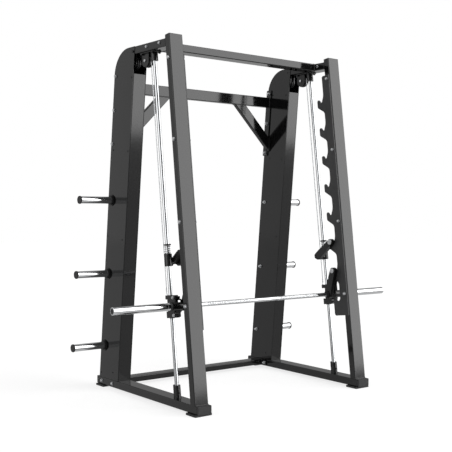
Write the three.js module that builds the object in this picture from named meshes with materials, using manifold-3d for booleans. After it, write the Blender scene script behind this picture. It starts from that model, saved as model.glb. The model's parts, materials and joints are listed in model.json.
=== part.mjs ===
// Smith machine: a free-standing rack with a barbell that runs on two inclined guide rods.
// Units are millimetres. X is across the machine, +Y points to the rear, +Z is up.
// The floor is z = 0 and the origin is the centre of the footprint.
import * as THREE from 'three';
import { mergeVertices } from 'three/addons/utils/BufferGeometryUtils.js';
import Module from 'manifold-3d';

// ---------------------------------------------------------------- driving dimensions
const GAP = 0.3;                 // clearance between touching pieces
const Y_CENTRE = 595;            // half of the footprint's depth: rails run from y = 0 to 1190
const XC = 678;                  // centre plane of each side frame
const TUBE_W = 100;              // side frame tube width
const TUBE_T = 50;               // side frame tube thickness
const WALL = 3;                  // tube wall
const CORNER = 6;                // tube corner radius

const RAIL_Z0 = 13.6, RAIL_Z1 = 64;
const RAIL_FRONT_CAP = 14, RAIL_LENGTH = 1190;
const FOOT_T = 13.3, FOOT_W = 126, FOOT_L = 100;

const LEAN = 0.1305;             // rearward run of uprights and rods per unit of height
const UPRIGHT_Y = 177, UPRIGHT_YZ = 1180.5;   // front face passes through this point
const UPRIGHT_TOP = 2298;

const ROD_Y0 = 274.4;            // rod axis meets the floor plane here
const ROD_R = 12.5;
const ROD_BOTTOM = 76, ROD_TOP = 2214;
const SLEEVE_R = 23, SLEEVE_TOP = 141;

const BEAM_Z0 = 2222.5, BEAM_Z1 = 2272.5;     // top side beams
const BEAM_W = 94;
const CROSSBAR_Y0 = 464, CROSSBAR_Y1 = 560;

const COL_SLOPE_F = -0.0889, COL_SLOPE_R = -0.0907;
const colFront = z => 914 + COL_SLOPE_F * (z - 63);
const colRear = z => 1161 + COL_SLOPE_R * z;
const PANEL_T = 2.7, COVER_TOP = 2098;
const COL_ARC_R = 175, COL_ARC_Z = BEAM_Z1 - COL_ARC_R;
const POST_D = 75;

const REAR_BEAM = { y0: 942, y1: 982, z0: 2000, z1: 2075 };
const BRACE_W = 72, BRACE_Z_AT_FLANGE = 1715;
const FLANGE_T = 8, FLANGE_W = 50, FLANGE_Z0 = 1635, FLANGE_Z1 = 2130;
const BASE_BEAM = { y0: 1010, y1: 1090, z0: 22, z1: 62 };

// everything below is in the rod frame: v runs along the rod, w is square to it, + to the rear
const UP_W0 = -249.4, UP_W1 = -199.4;         // upright, front and rear face
const PLATE_T = 7.7, PITCH = 201.6, NOTCH_TOP = 1983, HOOKS = 8;
const NOTCH_U = 48.5, NOTCH_R = 11;           // notch centre behind the upright's rear face
const PLATE_BOTTOM = 470, PLATE_TOP = 2166;
const PIN_R = 10;
const BAR_W = -84.6, BAR_V = 622.3, BAR_R = 14, SLEEVE_BAR_R = 24, BAR_HALF = 1150;
const STOP_V0 = 873.5, STOP_V1 = 950, STOP_R = 25;
const SPRING_TOP = 1004, WASHER_TOP = 1010, SPRING_R = 19;
const ARM_X0 = 588, ARM_X1 = 618;

const PULLEY_R = 43, GROOVE_R = 36, CABLE_R = 3, CABLE_PATH_R = 39.5, PULLEY_Z = 2171;
const PULLEY_FRONT_Y = 638, PULLEY_REAR_Y = 781;
const WEIGHT = { w: 76, d: 90, h: 300, zMid: 1060 };
const PEGS = [[1000.5, 1278], [1045, 781], [1088, 288]];
const PEG_R = 24, PEG_TIP = 976;

// ---------------------------------------------------------------- materials
const mat = (color, roughness, metalness) => new THREE.MeshStandardMaterial({ color, roughness, metalness });
const BLACK = () => mat(0x1c1c1d, 0.42, 0.25);
const BLACK_MATT = () => mat(0x111112, 0.6, 0.1);
const RUBBER = () => mat(0x0e0e0e, 0.85, 0.0);
const CHROME = () => mat(0xc9cbcc, 0.12, 1.0);
const STEEL = () => mat(0x9a9c9e, 0.3, 1.0);
const NYLON = () => mat(0x202022, 0.5, 0.0);
const PINSTEEL = () => mat(0xb4b6b8, 0.25, 1.0);

// ---------------------------------------------------------------- helpers
const wasm = await Module();
wasm.setup();

const root = new THREE.Group();
root.position.set(0, -Y_CENTRE, 0);

function add(name, geometry, material, parent = root) {
  const mesh = new THREE.Mesh(geometry, material);
  mesh.name = name;
  parent.add(mesh);
  return mesh;
}

function clean(geometry) {
  const g = geometry.clone();
  g.deleteAttribute('normal');
  g.deleteAttribute('uv');
  return mergeVertices(g, 1e-3);
}

function solid(geometry) {
  const g = clean(geometry);
  const index = g.index ? g.index.array : [...Array(g.attributes.position.count).keys()];
  return new wasm.Manifold(new wasm.Mesh({
    numProp: 3,
    vertProperties: new Float32Array(g.attributes.position.array),
    triVerts: new Uint32Array(index),
  }));
}

function fromSolid(s) {
  const m = s.getMesh();
  const g = new THREE.BufferGeometry();
  g.setAttribute('position', new THREE.BufferAttribute(new Float32Array(m.vertProperties), 3));
  g.setIndex(new THREE.BufferAttribute(new Uint32Array(m.triVerts), 1));
  g.computeVertexNormals();
  return g;
}

// joins the first list, then cuts the second list out of it
function csg(plus, minus = []) {
  let s = solid(plus[0]);
  for (const g of plus.slice(1)) s = s.add(solid(g));
  for (const g of minus) s = s.subtract(solid(g));
  return fromSolid(s);
}

function map(geometry, f) {
  const p = geometry.attributes.position;
  const v = new THREE.Vector3();
  for (let i = 0; i < p.count; i++) {
    v.fromBufferAttribute(p, i);
    f(v);
    p.setXYZ(i, v.x, v.y, v.z);
  }
  geometry.computeVertexNormals();
  return geometry;
}

function roundedRect(cx, cy, w, h, r, path = new THREE.Shape()) {
  const x0 = cx - w / 2, x1 = cx + w / 2, y0 = cy - h / 2, y1 = cy + h / 2;
  path.moveTo(x0 + r, y0);
  path.lineTo(x1 - r, y0);
  path.absarc(x1 - r, y0 + r, r, -Math.PI / 2, 0, false);
  path.lineTo(x1, y1 - r);
  path.absarc(x1 - r, y1 - r, r, 0, Math.PI / 2, false);
  path.lineTo(x0 + r, y1);
  path.absarc(x0 + r, y1 - r, r, Math.PI / 2, Math.PI, false);
  path.lineTo(x0, y0 + r);
  path.absarc(x0 + r, y0 + r, r, Math.PI, 1.5 * Math.PI, false);
  return path;
}

function circle(cx, cy, r, path = new THREE.Shape()) {
  path.absarc(cx, cy, r, 0, 2 * Math.PI, false);
  return path;
}

function extrude(shape, depth, segments = 1) {
  return new THREE.ExtrudeGeometry(shape, { depth, bevelEnabled: false, steps: 1, curveSegments: segments });
}

function tube(w, h, r = CORNER, wall = WALL, cx = 0, cy = 0) {
  const s = roundedRect(cx, cy, w, h, r);
  s.holes.push(roundedRect(cx, cy, w - 2 * wall, h - 2 * wall, Math.max(r - wall, 1), new THREE.Path()));
  return s;
}

// profile drawn in the YZ plane and given a thickness along X
function plateX(shape, x0, x1, segments = 4) {
  return map(extrude(shape, x1 - x0, segments), v => { const { x, y, z } = v; v.set(z + x0, x, y); });
}

function box(x0, x1, y0, y1, z0, z1) {
  const g = new THREE.BoxGeometry(x1 - x0, y1 - y0, z1 - z0);
  g.translate((x0 + x1) / 2, (y0 + y1) / 2, (z0 + z1) / 2);
  return g;
}

// cylinder along X, Y or Z
function cyl(axis, r, a, b, c1, c2, segments = 16) {
  const g = new THREE.CylinderGeometry(r, r, b - a, segments);
  if (axis === 'x') { g.rotateZ(-Math.PI / 2); g.translate((a + b) / 2, c1, c2); }
  if (axis === 'y') g.translate(c1, (a + b) / 2, c2);
  if (axis === 'z') { g.rotateX(Math.PI / 2); g.translate(c1, c2, (a + b) / 2); }
  return g;
}

// turned piece along X from (position along X, radius) pairs
function turnedX(pairs, cy, cz, segments = 16) {
  const pts = pairs.map(([x, r]) => new THREE.Vector2(r, x));
  const g = new THREE.LatheGeometry(pts, segments);
  g.rotateZ(-Math.PI / 2);
  g.translate(0, cy, cz);
  return g;
}

// mirror to the -X side, keeping faces outward
function mirror(geometry) {
  const g = geometry.index ? geometry.toNonIndexed() : geometry.clone();
  const p = g.attributes.position;
  for (let i = 0; i < p.count; i += 3) {
    const a = [p.getX(i), p.getY(i), p.getZ(i)];
    const b = [p.getX(i + 1), p.getY(i + 1), p.getZ(i + 1)];
    const c = [p.getX(i + 2), p.getY(i + 2), p.getZ(i + 2)];
    p.setXYZ(i, -a[0], a[1], a[2]);
    p.setXYZ(i + 1, -c[0], c[1], c[2]);
    p.setXYZ(i + 2, -b[0], b[1], b[2]);
  }
  g.computeVertexNormals();
  return g;
}

function pair(name, geometry, material, parent = root) {
  add(`${name}_right`, geometry, material(), parent);
  add(`${name}_left`, mirror(geometry), material(), parent);
}

// the rod frame: a group turned about X so that its z axis lies along the guide rods
const rodFrame = new THREE.Group();
rodFrame.position.set(0, ROD_Y0, 0);
rodFrame.rotation.x = -Math.atan(LEAN);
root.add(rodFrame);
const COS = 1 / Math.hypot(1, LEAN), SIN = LEAN * COS;

// ---------------------------------------------------------------- base
{
  // rails are closed at the rear by a welded plate and open to the front, where the end cap sits
  const outer = map(extrude(roundedRect(0, 0, TUBE_W, RAIL_Z1 - RAIL_Z0, CORNER), RAIL_LENGTH - RAIL_FRONT_CAP - GAP),
    v => { const { x, y, z } = v; v.set(XC - x, z + RAIL_FRONT_CAP + GAP, y + (RAIL_Z0 + RAIL_Z1) / 2); });
  const inner = map(extrude(roundedRect(0, 0, TUBE_W - 2 * WALL, RAIL_Z1 - RAIL_Z0 - 2 * WALL, 3), RAIL_LENGTH - 10),
    v => { const { x, y, z } = v; v.set(XC - x, z, y + (RAIL_Z0 + RAIL_Z1) / 2); });
  pair('base_rail', csg([outer], [inner]), BLACK);

  // front foot: moulded end cap block with its foot plate below the rail
  const cap = map(extrude(roundedRect(0, 0, TUBE_W, RAIL_Z1 - RAIL_Z0, CORNER), RAIL_FRONT_CAP),
    v => { const { x, y, z } = v; v.set(XC - x, z, y + (RAIL_Z0 + RAIL_Z1) / 2); });
  const foot = map(extrude(roundedRect(XC, 10 + FOOT_L / 2, FOOT_W, FOOT_L, 4), FOOT_T), () => {});
  pair('front_foot', csg([cap, foot, box(XC - 40, XC + 40, 10.5, 13.5, 5, 30)]), RUBBER);
  const rear = extrude(roundedRect(XC, 1136, FOOT_W, FOOT_L, 4), FOOT_T);
  pair('rear_foot', rear, RUBBER);

  // base crossbeam with an end plate welded at each end
  const b = BASE_BEAM, yc = (b.y0 + b.y1) / 2, zc = (b.z0 + b.z1) / 2;
  const half = XC - TUBE_W / 2 - GAP;
  const body = map(extrude(roundedRect(0, 0, b.y1 - b.y0, b.z1 - b.z0, 5), 2 * half - 2),
    v => { const { x, y, z } = v; v.set(z - half + 1, x + yc, y + zc); });
  const bore = map(extrude(roundedRect(0, 0, b.y1 - b.y0 - 6, b.z1 - b.z0 - 6, 2), 2 * half + 20),
    v => { const { x, y, z } = v; v.set(z - half - 10, x + yc, y + zc); });
  const plates = [1, -1].map(s => box(s > 0 ? half - FLANGE_T : -half, s > 0 ? half : -half + FLANGE_T, yc - 86, yc + 86, 17, 62.5));
  add('base_crossbeam', csg([body, ...plates], [bore]), BLACK());
}

// ---------------------------------------------------------------- uprights, top beams, columns
{
  // uprights: blind at the top, open at the bottom
  const depth = TUBE_T / COS;
  const front = z => UPRIGHT_Y + LEAN * (z - UPRIGHT_YZ);
  const lean = (zBottom, zTop) => v => {
    const t = v.z, y = v.y + depth / 2;
    const zt = zTop - LEAN * COS * COS * y;            // square-cut top
    const z = t < 0.5 ? zBottom : zt;
    v.set(v.x + XC, front(z) + y, z);
  };
  const outer = map(extrude(roundedRect(0, 0, TUBE_W, depth, CORNER), 1), lean(RAIL_Z1 + GAP, UPRIGHT_TOP));
  const inner = map(extrude(roundedRect(0, 0, TUBE_W - 2 * WALL, depth - 2 * WALL, 3), 1), lean(RAIL_Z1 - 20, UPRIGHT_TOP - 5));
  pair('upright', csg([outer], [inner]), BLACK);

  // top side beam from the upright back into the column, with two welded ears for the rear pulley
  const yFront = z => front(z) + depth + GAP / COS;
  const zc = (BEAM_Z0 + BEAM_Z1) / 2;
  const beam = map(extrude(tube(BEAM_W, BEAM_Z1 - BEAM_Z0), 1),
    v => { const { x, y, z } = v; const zz = y + zc; v.set(XC - x, z < 0.5 ? yFront(zz) : 790, zz); });
  const ear = new THREE.Shape();
  ear.moveTo(PULLEY_REAR_Y - 34, BEAM_Z0 + 1);
  ear.lineTo(PULLEY_REAR_Y - 34, PULLEY_Z);
  ear.absarc(PULLEY_REAR_Y, PULLEY_Z, 34, Math.PI, 1.6 * Math.PI, false);
  ear.lineTo(789, PULLEY_Z - 20);
  ear.lineTo(789, BEAM_Z0 + 1);
  const ears = [plateX(ear, XC - 20, XC - 15), plateX(ear, XC + 15, XC + 20)];
  pair('top_beam', csg([beam, ...ears, cyl('x', 6, XC - 24, XC + 24, PULLEY_REAR_Y, PULLEY_Z, 12)]), BLACK);

  const half = XC - BEAM_W / 2 - GAP;
  const cb = map(extrude(tube(CROSSBAR_Y1 - CROSSBAR_Y0, BEAM_Z1 - BEAM_Z0), 2 * half),
    v => { const { x, y, z } = v; v.set(z - half, x + (CROSSBAR_Y0 + CROSSBAR_Y1) / 2, y + zc); });
  add('top_crossbar', cb, BLACK());

  // rear post, with the curved sheet that closes the top of the column
  const z0 = RAIL_Z1 + GAP, z1 = COL_ARC_Z + 4;
  const postD = POST_D;
  const post = (w, d, r, za, zb) => map(extrude(roundedRect(0, 0, w, d, r), 1),
    v => { const z = v.z < 0.5 ? za : zb; v.set(v.x + XC, colRear(z) - 3 - postD / 2 + v.y, z); });
  const arcY = colRear(COL_ARC_Z) - COL_ARC_R;
  const strip = new THREE.Shape();
  strip.absarc(arcY, COL_ARC_Z, COL_ARC_R - 1, 0, Math.PI / 2 - 0.03, false);
  strip.absarc(arcY, COL_ARC_Z, COL_ARC_R - 4, Math.PI / 2 - 0.03, 0, true);
  pair('rear_post', csg([post(BEAM_W, postD, CORNER, z0, z1), plateX(strip, XC - BEAM_W / 2, XC + BEAM_W / 2, 8)],
    [post(BEAM_W - 6, postD - 6, 3, z0 - 20, z1 + 20)]), BLACK);

  // side panels
  const p = new THREE.Shape();
  const zb = RAIL_Z1 + GAP;
  p.moveTo(colFront(zb), zb);
  p.lineTo(colRear(zb), zb);
  p.lineTo(colRear(COL_ARC_Z), COL_ARC_Z);
  p.absarc(arcY, COL_ARC_Z, COL_ARC_R, 0, Math.PI / 2, false);
  p.lineTo(colFront(BEAM_Z1), BEAM_Z1);
  p.closePath();
  pair('column_outer_panel', plateX(p, XC + TUBE_W / 2 - PANEL_T, XC + TUBE_W / 2, 9), BLACK);
  pair('column_inner_panel', plateX(p, XC - TUBE_W / 2, XC - TUBE_W / 2 + PANEL_T, 9), BLACK);

  // front cover, a channel between the side panels; the window above it lets the cable through
  const h = BEAM_W / 2, u = new THREE.Shape();
  u.moveTo(-h, 0); u.lineTo(h, 0); u.lineTo(h, 25); u.lineTo(h - 3, 25); u.lineTo(h - 3, 3);
  u.lineTo(-h + 3, 3); u.lineTo(-h + 3, 25); u.lineTo(-h, 25); u.closePath();
  pair('column_front_cover', map(extrude(u, 1), v => {
    const z = v.z < 0.5 ? zb : COVER_TOP; v.set(v.x + XC, colFront(z) + v.y, z);
  }), BLACK);
}

// ---------------------------------------------------------------- rear brace frame
{
  const r = REAR_BEAM, half = XC - TUBE_W / 2 - GAP, yc = (r.y0 + r.y1) / 2, zc = (r.z0 + r.z1) / 2;
  const along = (w, h, rad, len, off) => map(extrude(roundedRect(0, 0, w, h, rad), len),
    v => { const { x, y, z } = v; v.set(z + off, x + yc, y + zc); });
  const plus = [along(r.y1 - r.y0, r.z1 - r.z0, 5, 2 * half - 2, -half + 1)];
  const minus = [along(r.y1 - r.y0 - 6, r.z1 - r.z0 - 6, 2, 2 * half + 20, -half - 10)];
  for (const s of [1, -1]) {
    // 45 degree brace, from the end plate up to the underside of the beam
    const a = new THREE.Shape();
    const xe = half - 2, ze = BRACE_Z_AT_FLANGE, hw = BRACE_W / 2 * Math.SQRT2, run = r.z0 + 4 - ze;
    a.moveTo(xe, ze - hw); a.lineTo(xe, ze + hw);
    a.lineTo(xe - run + hw, ze + run); a.lineTo(xe - run - hw, ze + run); a.closePath();
    plus.push(map(extrude(a, 34), v => { const { x, y, z } = v; v.set(s * x, s > 0 ? z : z, y); }));
    const g = plus[plus.length - 1];
    map(g, v => v.set(v.x, yc + 17 - v.y, v.z));
    if (s < 0) plus[plus.length - 1] = mirror(mirror(g));
    // leaning end plate
    const f = new THREE.Shape();
    const line = z => colRear(z) - 18 - FLANGE_W / 2;
    f.moveTo(line(FLANGE_Z0), FLANGE_Z0); f.lineTo(line(FLANGE_Z0) + FLANGE_W, FLANGE_Z0);
    f.lineTo(line(FLANGE_Z1) + FLANGE_W, FLANGE_Z1); f.lineTo(line(FLANGE_Z1), FLANGE_Z1); f.closePath();
    plus.push(plateX(f, s > 0 ? half - FLANGE_T : -half, s > 0 ? half : -half + FLANGE_T));
  }
  // orientation of the swept braces is repaired here if a reflection has turned them inside out
  const fixed = plus.map(g => {
    const c = clean(g), p = c.attributes.position, i = c.index.array;
    let vol = 0;
    const A = new THREE.Vector3(), B = new THREE.Vector3(), C = new THREE.Vector3();
    for (let k = 0; k < i.length; k += 3) {
      A.fromBufferAttribute(p, i[k]); B.fromBufferAttribute(p, i[k + 1]); C.fromBufferAttribute(p, i[k + 2]);
      vol += A.dot(B.cross(C));
    }
    if (vol < 0) for (let k = 0; k < i.length; k += 3) { const t = i[k]; i[k] = i[k + 1]; i[k + 1] = t; }
    return c;
  });
  add('rear_brace_frame', csg(fixed, minus), BLACK());
}

// ---------------------------------------------------------------- hook plates, rods and their ends
const U = u => UP_W1 + u;
const notchV = k => NOTCH_TOP - PITCH * (k - 1);
{
  const s = new THREE.Shape();
  s.moveTo(U(-45), PLATE_BOTTOM);
  s.lineTo(U(-45), PLATE_TOP);
  s.lineTo(U(12), PLATE_TOP);
  s.absarc(U(12), PLATE_TOP - 11, 11, Math.PI / 2, 0, true);
  for (let k = 1; k <= HOOKS; k++) {
    const v = notchV(k);
    s.lineTo(U(23), v + 60);
    s.quadraticCurveTo(U(24), v + 36, U(33), v + 22);
    s.lineTo(U(NOTCH_U - NOTCH_R), v + NOTCH_R);
    s.absarc(U(NOTCH_U), v + NOTCH_R, NOTCH_R, Math.PI, 2 * Math.PI, false);
    s.lineTo(U(65), v + 17);
    s.absarc(U(75), v + 10, 12, 2.5, 0, true);
    if (k < HOOKS) {
      s.lineTo(U(87), v - 24);
      s.quadraticCurveTo(U(87), v - 33, U(79), v - 38);
      s.lineTo(U(38), v - 66);
      s.quadraticCurveTo(U(24), v - 76, U(23), v - 92);
    } else {
      s.lineTo(U(87), PLATE_BOTTOM + 16);
      s.absarc(U(71), PLATE_BOTTOM + 16, 16, 0, -Math.PI / 2, true);
    }
  }
  s.closePath();
  pair('hook_plate', plateX(s, XC - TUBE_W / 2 - GAP - PLATE_T, XC - TUBE_W / 2 - GAP, 2), BLACK_MATT, rodFrame);

  pair('guide_rod', cyl('z', ROD_R, ROD_BOTTOM / COS, ROD_TOP / COS - 1, XC, 0, 16), CHROME, rodFrame);

  const ringAt = (ro, ri, z0, z1) => {
    const c = circle(XC, 0, ro);
    c.holes.push(circle(XC, 0, ri, new THREE.Path()));
    return map(extrude(c, 1, 8), v => { const z = v.z < 0.5 ? z0 : z1; v.set(v.x, v.y + ROD_Y0 + LEAN * z, z); });
  };
  pair('rod_base_sleeve', ringAt(SLEEVE_R, ROD_R + 0.6, RAIL_Z1 + GAP, SLEEVE_TOP), BLACK_MATT);

  // hanger under the top beam: rod socket, two cheeks and the front pulley's axle
  const zt = BEAM_Z0 - GAP, cheek = new THREE.Shape();
  cheek.moveTo(PULLEY_FRONT_Y - 40, zt - 2);
  cheek.lineTo(PULLEY_FRONT_Y - 40, PULLEY_Z);
  cheek.absarc(PULLEY_FRONT_Y, PULLEY_Z, 40, Math.PI, 2 * Math.PI, false);
  cheek.lineTo(PULLEY_FRONT_Y + 40, zt - 2);
  const plate = box(XC - 35, XC + 35, ROD_Y0 + LEAN * 2190 - 30, PULLEY_FRONT_Y + 44, zt - 6, zt);
  const socket = circle(XC, 0, SLEEVE_R);
  const sock = map(extrude(socket, 1, 8), v => { const z = v.z < 0.5 ? 2163 : zt - 3; v.set(v.x, v.y + ROD_Y0 + LEAN * z, z); });
  const hole = map(extrude(circle(XC, 0, ROD_R + 0.6), 1, 8), v => { const z = v.z < 0.5 ? 2140 : 2215.5; v.set(v.x, v.y + ROD_Y0 + LEAN * z, z); });
  pair('pulley_hanger', csg([plate, plateX(cheek, XC - 20, XC - 15), plateX(cheek, XC + 15, XC + 20), sock,
    cyl('x', 6, XC - 24, XC + 24, PULLEY_FRONT_Y, PULLEY_Z, 12)], [hole]), BLACK_MATT);
}

// ---------------------------------------------------------------- pulleys, cables and counterweights
{
  const wheel = (y) => {
    const w = 9, g = 4.2, b = 6.4;
    const pts = [[-w, b], [-w, PULLEY_R], [-g - 1, PULLEY_R], [-g + 1, GROOVE_R], [g - 1, GROOVE_R], [g + 1, PULLEY_R], [w, PULLEY_R], [w, b], [-w, b]]
      .map(([x, r]) => new THREE.Vector2(r, x + XC));
    const l = new THREE.LatheGeometry(pts, 20);
    l.rotateZ(-Math.PI / 2);
    l.translate(0, y, PULLEY_Z);
    return l;
  };
  pair('front_pulley', wheel(PULLEY_FRONT_Y), NYLON);
  pair('rear_pulley', wheel(PULLEY_REAR_Y), NYLON);

  const rope = (pts) => {
    // rings set square to the path in the YZ plane
    const n = 8, pos = [], idx = [];
    pts.forEach((p, i) => {
      const a = pts[Math.max(i - 1, 0)], b = pts[Math.min(i + 1, pts.length - 1)];
      const ty = b[0] - a[0], tz = b[1] - a[1], L = Math.hypot(ty, tz);
      const ny = -tz / L, nz = ty / L;
      for (let k = 0; k < n; k++) {
        const q = 2 * Math.PI * k / n;
        pos.push(XC + CABLE_R * Math.cos(q), p[0] + CABLE_R * Math.sin(q) * ny, p[1] + CABLE_R * Math.sin(q) * nz);
      }
    });
    const m = pts.length;
    for (let i = 0; i + 1 < m; i++) for (let k = 0; k < n; k++) {
      const a = i * n + k, b = i * n + (k + 1) % n, c = a + n, d = b + n;
      idx.push(a, c, b, b, c, d);
    }
    for (let k = 1; k + 1 < n; k++) { idx.push(0, k, k + 1); idx.push((m - 1) * n, (m - 1) * n + k + 1, (m - 1) * n + k); }
    const g = new THREE.BufferGeometry();
    g.setAttribute('position', new THREE.BufferAttribute(new Float32Array(pos), 3));
    g.setIndex(idx);
    let vol = 0;
    const P = i => new THREE.Vector3(pos[3 * i], pos[3 * i + 1], pos[3 * i + 2]);
    for (let k = 0; k < idx.length; k += 3) vol += P(idx[k]).dot(P(idx[k + 1]).cross(P(idx[k + 2])));
    if (vol < 0) { for (let k = 0; k < idx.length; k += 3) [idx[k], idx[k + 1]] = [idx[k + 1], idx[k]]; g.setIndex(idx); }
    g.computeVertexNormals();
    return g;
  };
  // front run: from the carriage lug up, over the front pulley and level to halfway
  const R = CABLE_PATH_R, f = [], q0 = Math.atan(LEAN);
  const t0 = [PULLEY_FRONT_Y - R * COS, PULLEY_Z + R * SIN];
  const vTop = (t0[0] - ROD_Y0) * SIN + t0[1] * COS;
  const run = vTop - (693 + GAP);
  f.push([t0[0] - run * SIN, t0[1] - run * COS]);
  for (let i = 0; i <= 6; i++) {
    const q = Math.PI - q0 - (Math.PI / 2 - q0) * i / 6;
    f.push([PULLEY_FRONT_Y + R * Math.cos(q), PULLEY_Z + R * Math.sin(q)]);
  }
  const mid = (PULLEY_FRONT_Y + PULLEY_REAR_Y) / 2;
  f.push([mid - GAP / 2, PULLEY_Z + R]);
  pair('cable_front_run', rope(f), STEEL);
  // rear run: over the rear pulley and down to the counterweight
  const ws = Math.atan(-COL_SLOPE_F), e = [[mid + GAP / 2, PULLEY_Z + R]];
  for (let i = 0; i <= 6; i++) {
    const q = Math.PI / 2 - (Math.PI / 2 - ws) * i / 6;
    e.push([PULLEY_REAR_Y + R * Math.cos(q), PULLEY_Z + R * Math.sin(q)]);
  }
  const last = e[e.length - 1], c = Math.cos(ws), sn = Math.sin(ws);
  const down = (last[1] - (WEIGHT.zMid + WEIGHT.h / 2 * c + 1.2)) / c;
  e.push([last[0] + down * sn, last[1] - down * c]);
  pair('cable_rear_run', rope(e), STEEL);

  // counterweight: a steel block, parallel to the column, hung on the cable
  const weight = new THREE.Group();
  const wy = last[0] + (last[1] - WEIGHT.zMid) * Math.tan(ws);
  weight.position.set(0, wy, WEIGHT.zMid);
  weight.rotation.x = ws;
  root.add(weight);
  const blk = extrude(roundedRect(XC, 0, WEIGHT.w, WEIGHT.d, 6), WEIGHT.h);
  blk.translate(0, 0, -WEIGHT.h / 2);
  pair('counterweight', blk, STEEL, weight);
}

// ---------------------------------------------------------------- carriages and bar
{
  const bw = BAR_W, bv = BAR_V;
  const rodBore = cyl('z', ROD_R + 0.4, 520, 720, XC, 0, 16);
  const barBore = cyl('x', BAR_R + 0.4, 600, 760, bw, bv, 16);
  const carriage = csg([
    cyl('z', 22, 545, 692, XC, 0, 16),
    extrudeV(roundedRect(XC, -16, 44, 68, 5), 643, 693),
    extrudeV(roundedRect(XC, -18, 44, 72, 5), 544, 592),
    cyl('x', 26, 650, 735, bw, bv, 16),
    box(658, 698, -76, -8, 585, 650),
    box(668, 688, 12, 47, 668, 692.8),
  ], [rodBore, barBore]);
  pair('carriage', carriage, BLACK_MATT, rodFrame);

  // shaft, and a sleeve with its collar pressed over each end
  add('bar', turnedX([[-BAR_HALF + 10, 0], [-BAR_HALF + 10, BAR_R], [BAR_HALF - 10, BAR_R], [BAR_HALF - 10, 0]], bw, bv, 16), CHROME(), rodFrame);
  const ri = BAR_R + GAP, e = BAR_HALF - 10 + GAP;
  const sleeve = [[736, ri], [736, 34], [746, 34], [746, SLEEVE_BAR_R], [BAR_HALF - 3, SLEEVE_BAR_R], [BAR_HALF, SLEEVE_BAR_R - 3], [BAR_HALF, 0], [e, 0], [e, ri], [736, ri]];
  pair('bar_sleeve', turnedX(sleeve, bw, bv, 16), CHROME, rodFrame);

  // hook arm clamped on the bar, with its pin pointing at the hook plate
  const pinW = U(NOTCH_U), pinV = notchV(7) + NOTCH_R;
  const arm = armShape([bw, bv], 27, [pinW, pinV], 22);
  pair('bar_hook', csg([plateX(arm, ARM_X0, ARM_X1, 5), cyl('x', PIN_R, ARM_X0 - 5, XC - TUBE_W / 2 - GAP - PLATE_T - 0.6, pinW, pinV, 12)],
    [cyl('x', BAR_R + 0.3, 500, 700, bw, bv, 16)]), BLACK_MATT, rodFrame);
}

// ---------------------------------------------------------------- safety stops
{
  const pinW = U(NOTCH_U), pinV = notchV(6) + NOTCH_R, pv = 893;
  const collar = csg([cyl('z', STOP_R, STOP_V0, STOP_V1, XC, 0, 16), cyl('x', 20, ARM_X1 + 0.4, XC - 15, 0, pv, 14), cyl('x', 8, ARM_X0 - 6, XC - 20, 0, pv, 12)],
    [cyl('z', ROD_R + 0.4, 850, 970, XC, 0, 16)]);
  pair('stop_collar', collar, BLACK_MATT, rodFrame);
  const arm = armShape([0, pv], 24, [pinW, pinV], 22);
  pair('stop_arm', csg([plateX(arm, ARM_X0, ARM_X1, 5), cyl('x', PIN_R, ARM_X0 - 5, XC - TUBE_W / 2 - GAP - PLATE_T - 0.6, pinW, pinV, 12)],
    [cyl('x', 8.4, 500, 700, 0, pv, 14)]), BLACK_MATT, rodFrame);
  const ring = (ro, ri, v0, v1) => {
    const c = circle(XC, 0, ro);
    c.holes.push(circle(XC, 0, ri, new THREE.Path()));
    return extrudeV(c, v0, v1, 8);
  };
  pair('stop_spring', ring(SPRING_R, ROD_R + 2, STOP_V1 + GAP, SPRING_TOP - GAP), STEEL, rodFrame);
  pair('stop_washer', ring(22.5, ROD_R + 0.5, SPRING_TOP, WASHER_TOP), BLACK_MATT, rodFrame);
}

// ---------------------------------------------------------------- plate storage pegs
PEGS.forEach(([y, z], i) => {
  const x0 = XC + TUBE_W / 2 + GAP;
  const prof = [[x0, 0], [x0, 38], [x0 + 6, 38], [x0 + 6, 31], [x0 + 16, 31], [x0 + 16, PEG_R], [PEG_TIP - 11, PEG_R],
    [PEG_TIP - 11, 26.5], [PEG_TIP - 2, 26.5], [PEG_TIP, 24.5], [PEG_TIP, 0]];
  pair(['upper_peg', 'middle_peg', 'lower_peg'][i], turnedX(prof, y, z, 14), CHROME);
});

function extrudeV(shape, v0, v1, segments = 1) {
  const g = extrude(shape, v1 - v0, segments);
  g.translate(0, 0, v0);
  return g;
}

// outline of a link with two round ends of different radius
function armShape([ax, ay], ra, [bx, by], rb) {
  const d = Math.hypot(bx - ax, by - ay), t = Math.atan2(by - ay, bx - ax), k = Math.acos((ra - rb) / d);
  const s = new THREE.Shape();
  s.absarc(ax, ay, ra, t + k, t - k + 2 * Math.PI, false);
  s.absarc(bx, by, rb, t - k, t + k, false);
  s.closePath();
  return s;
}

export default root;
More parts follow.
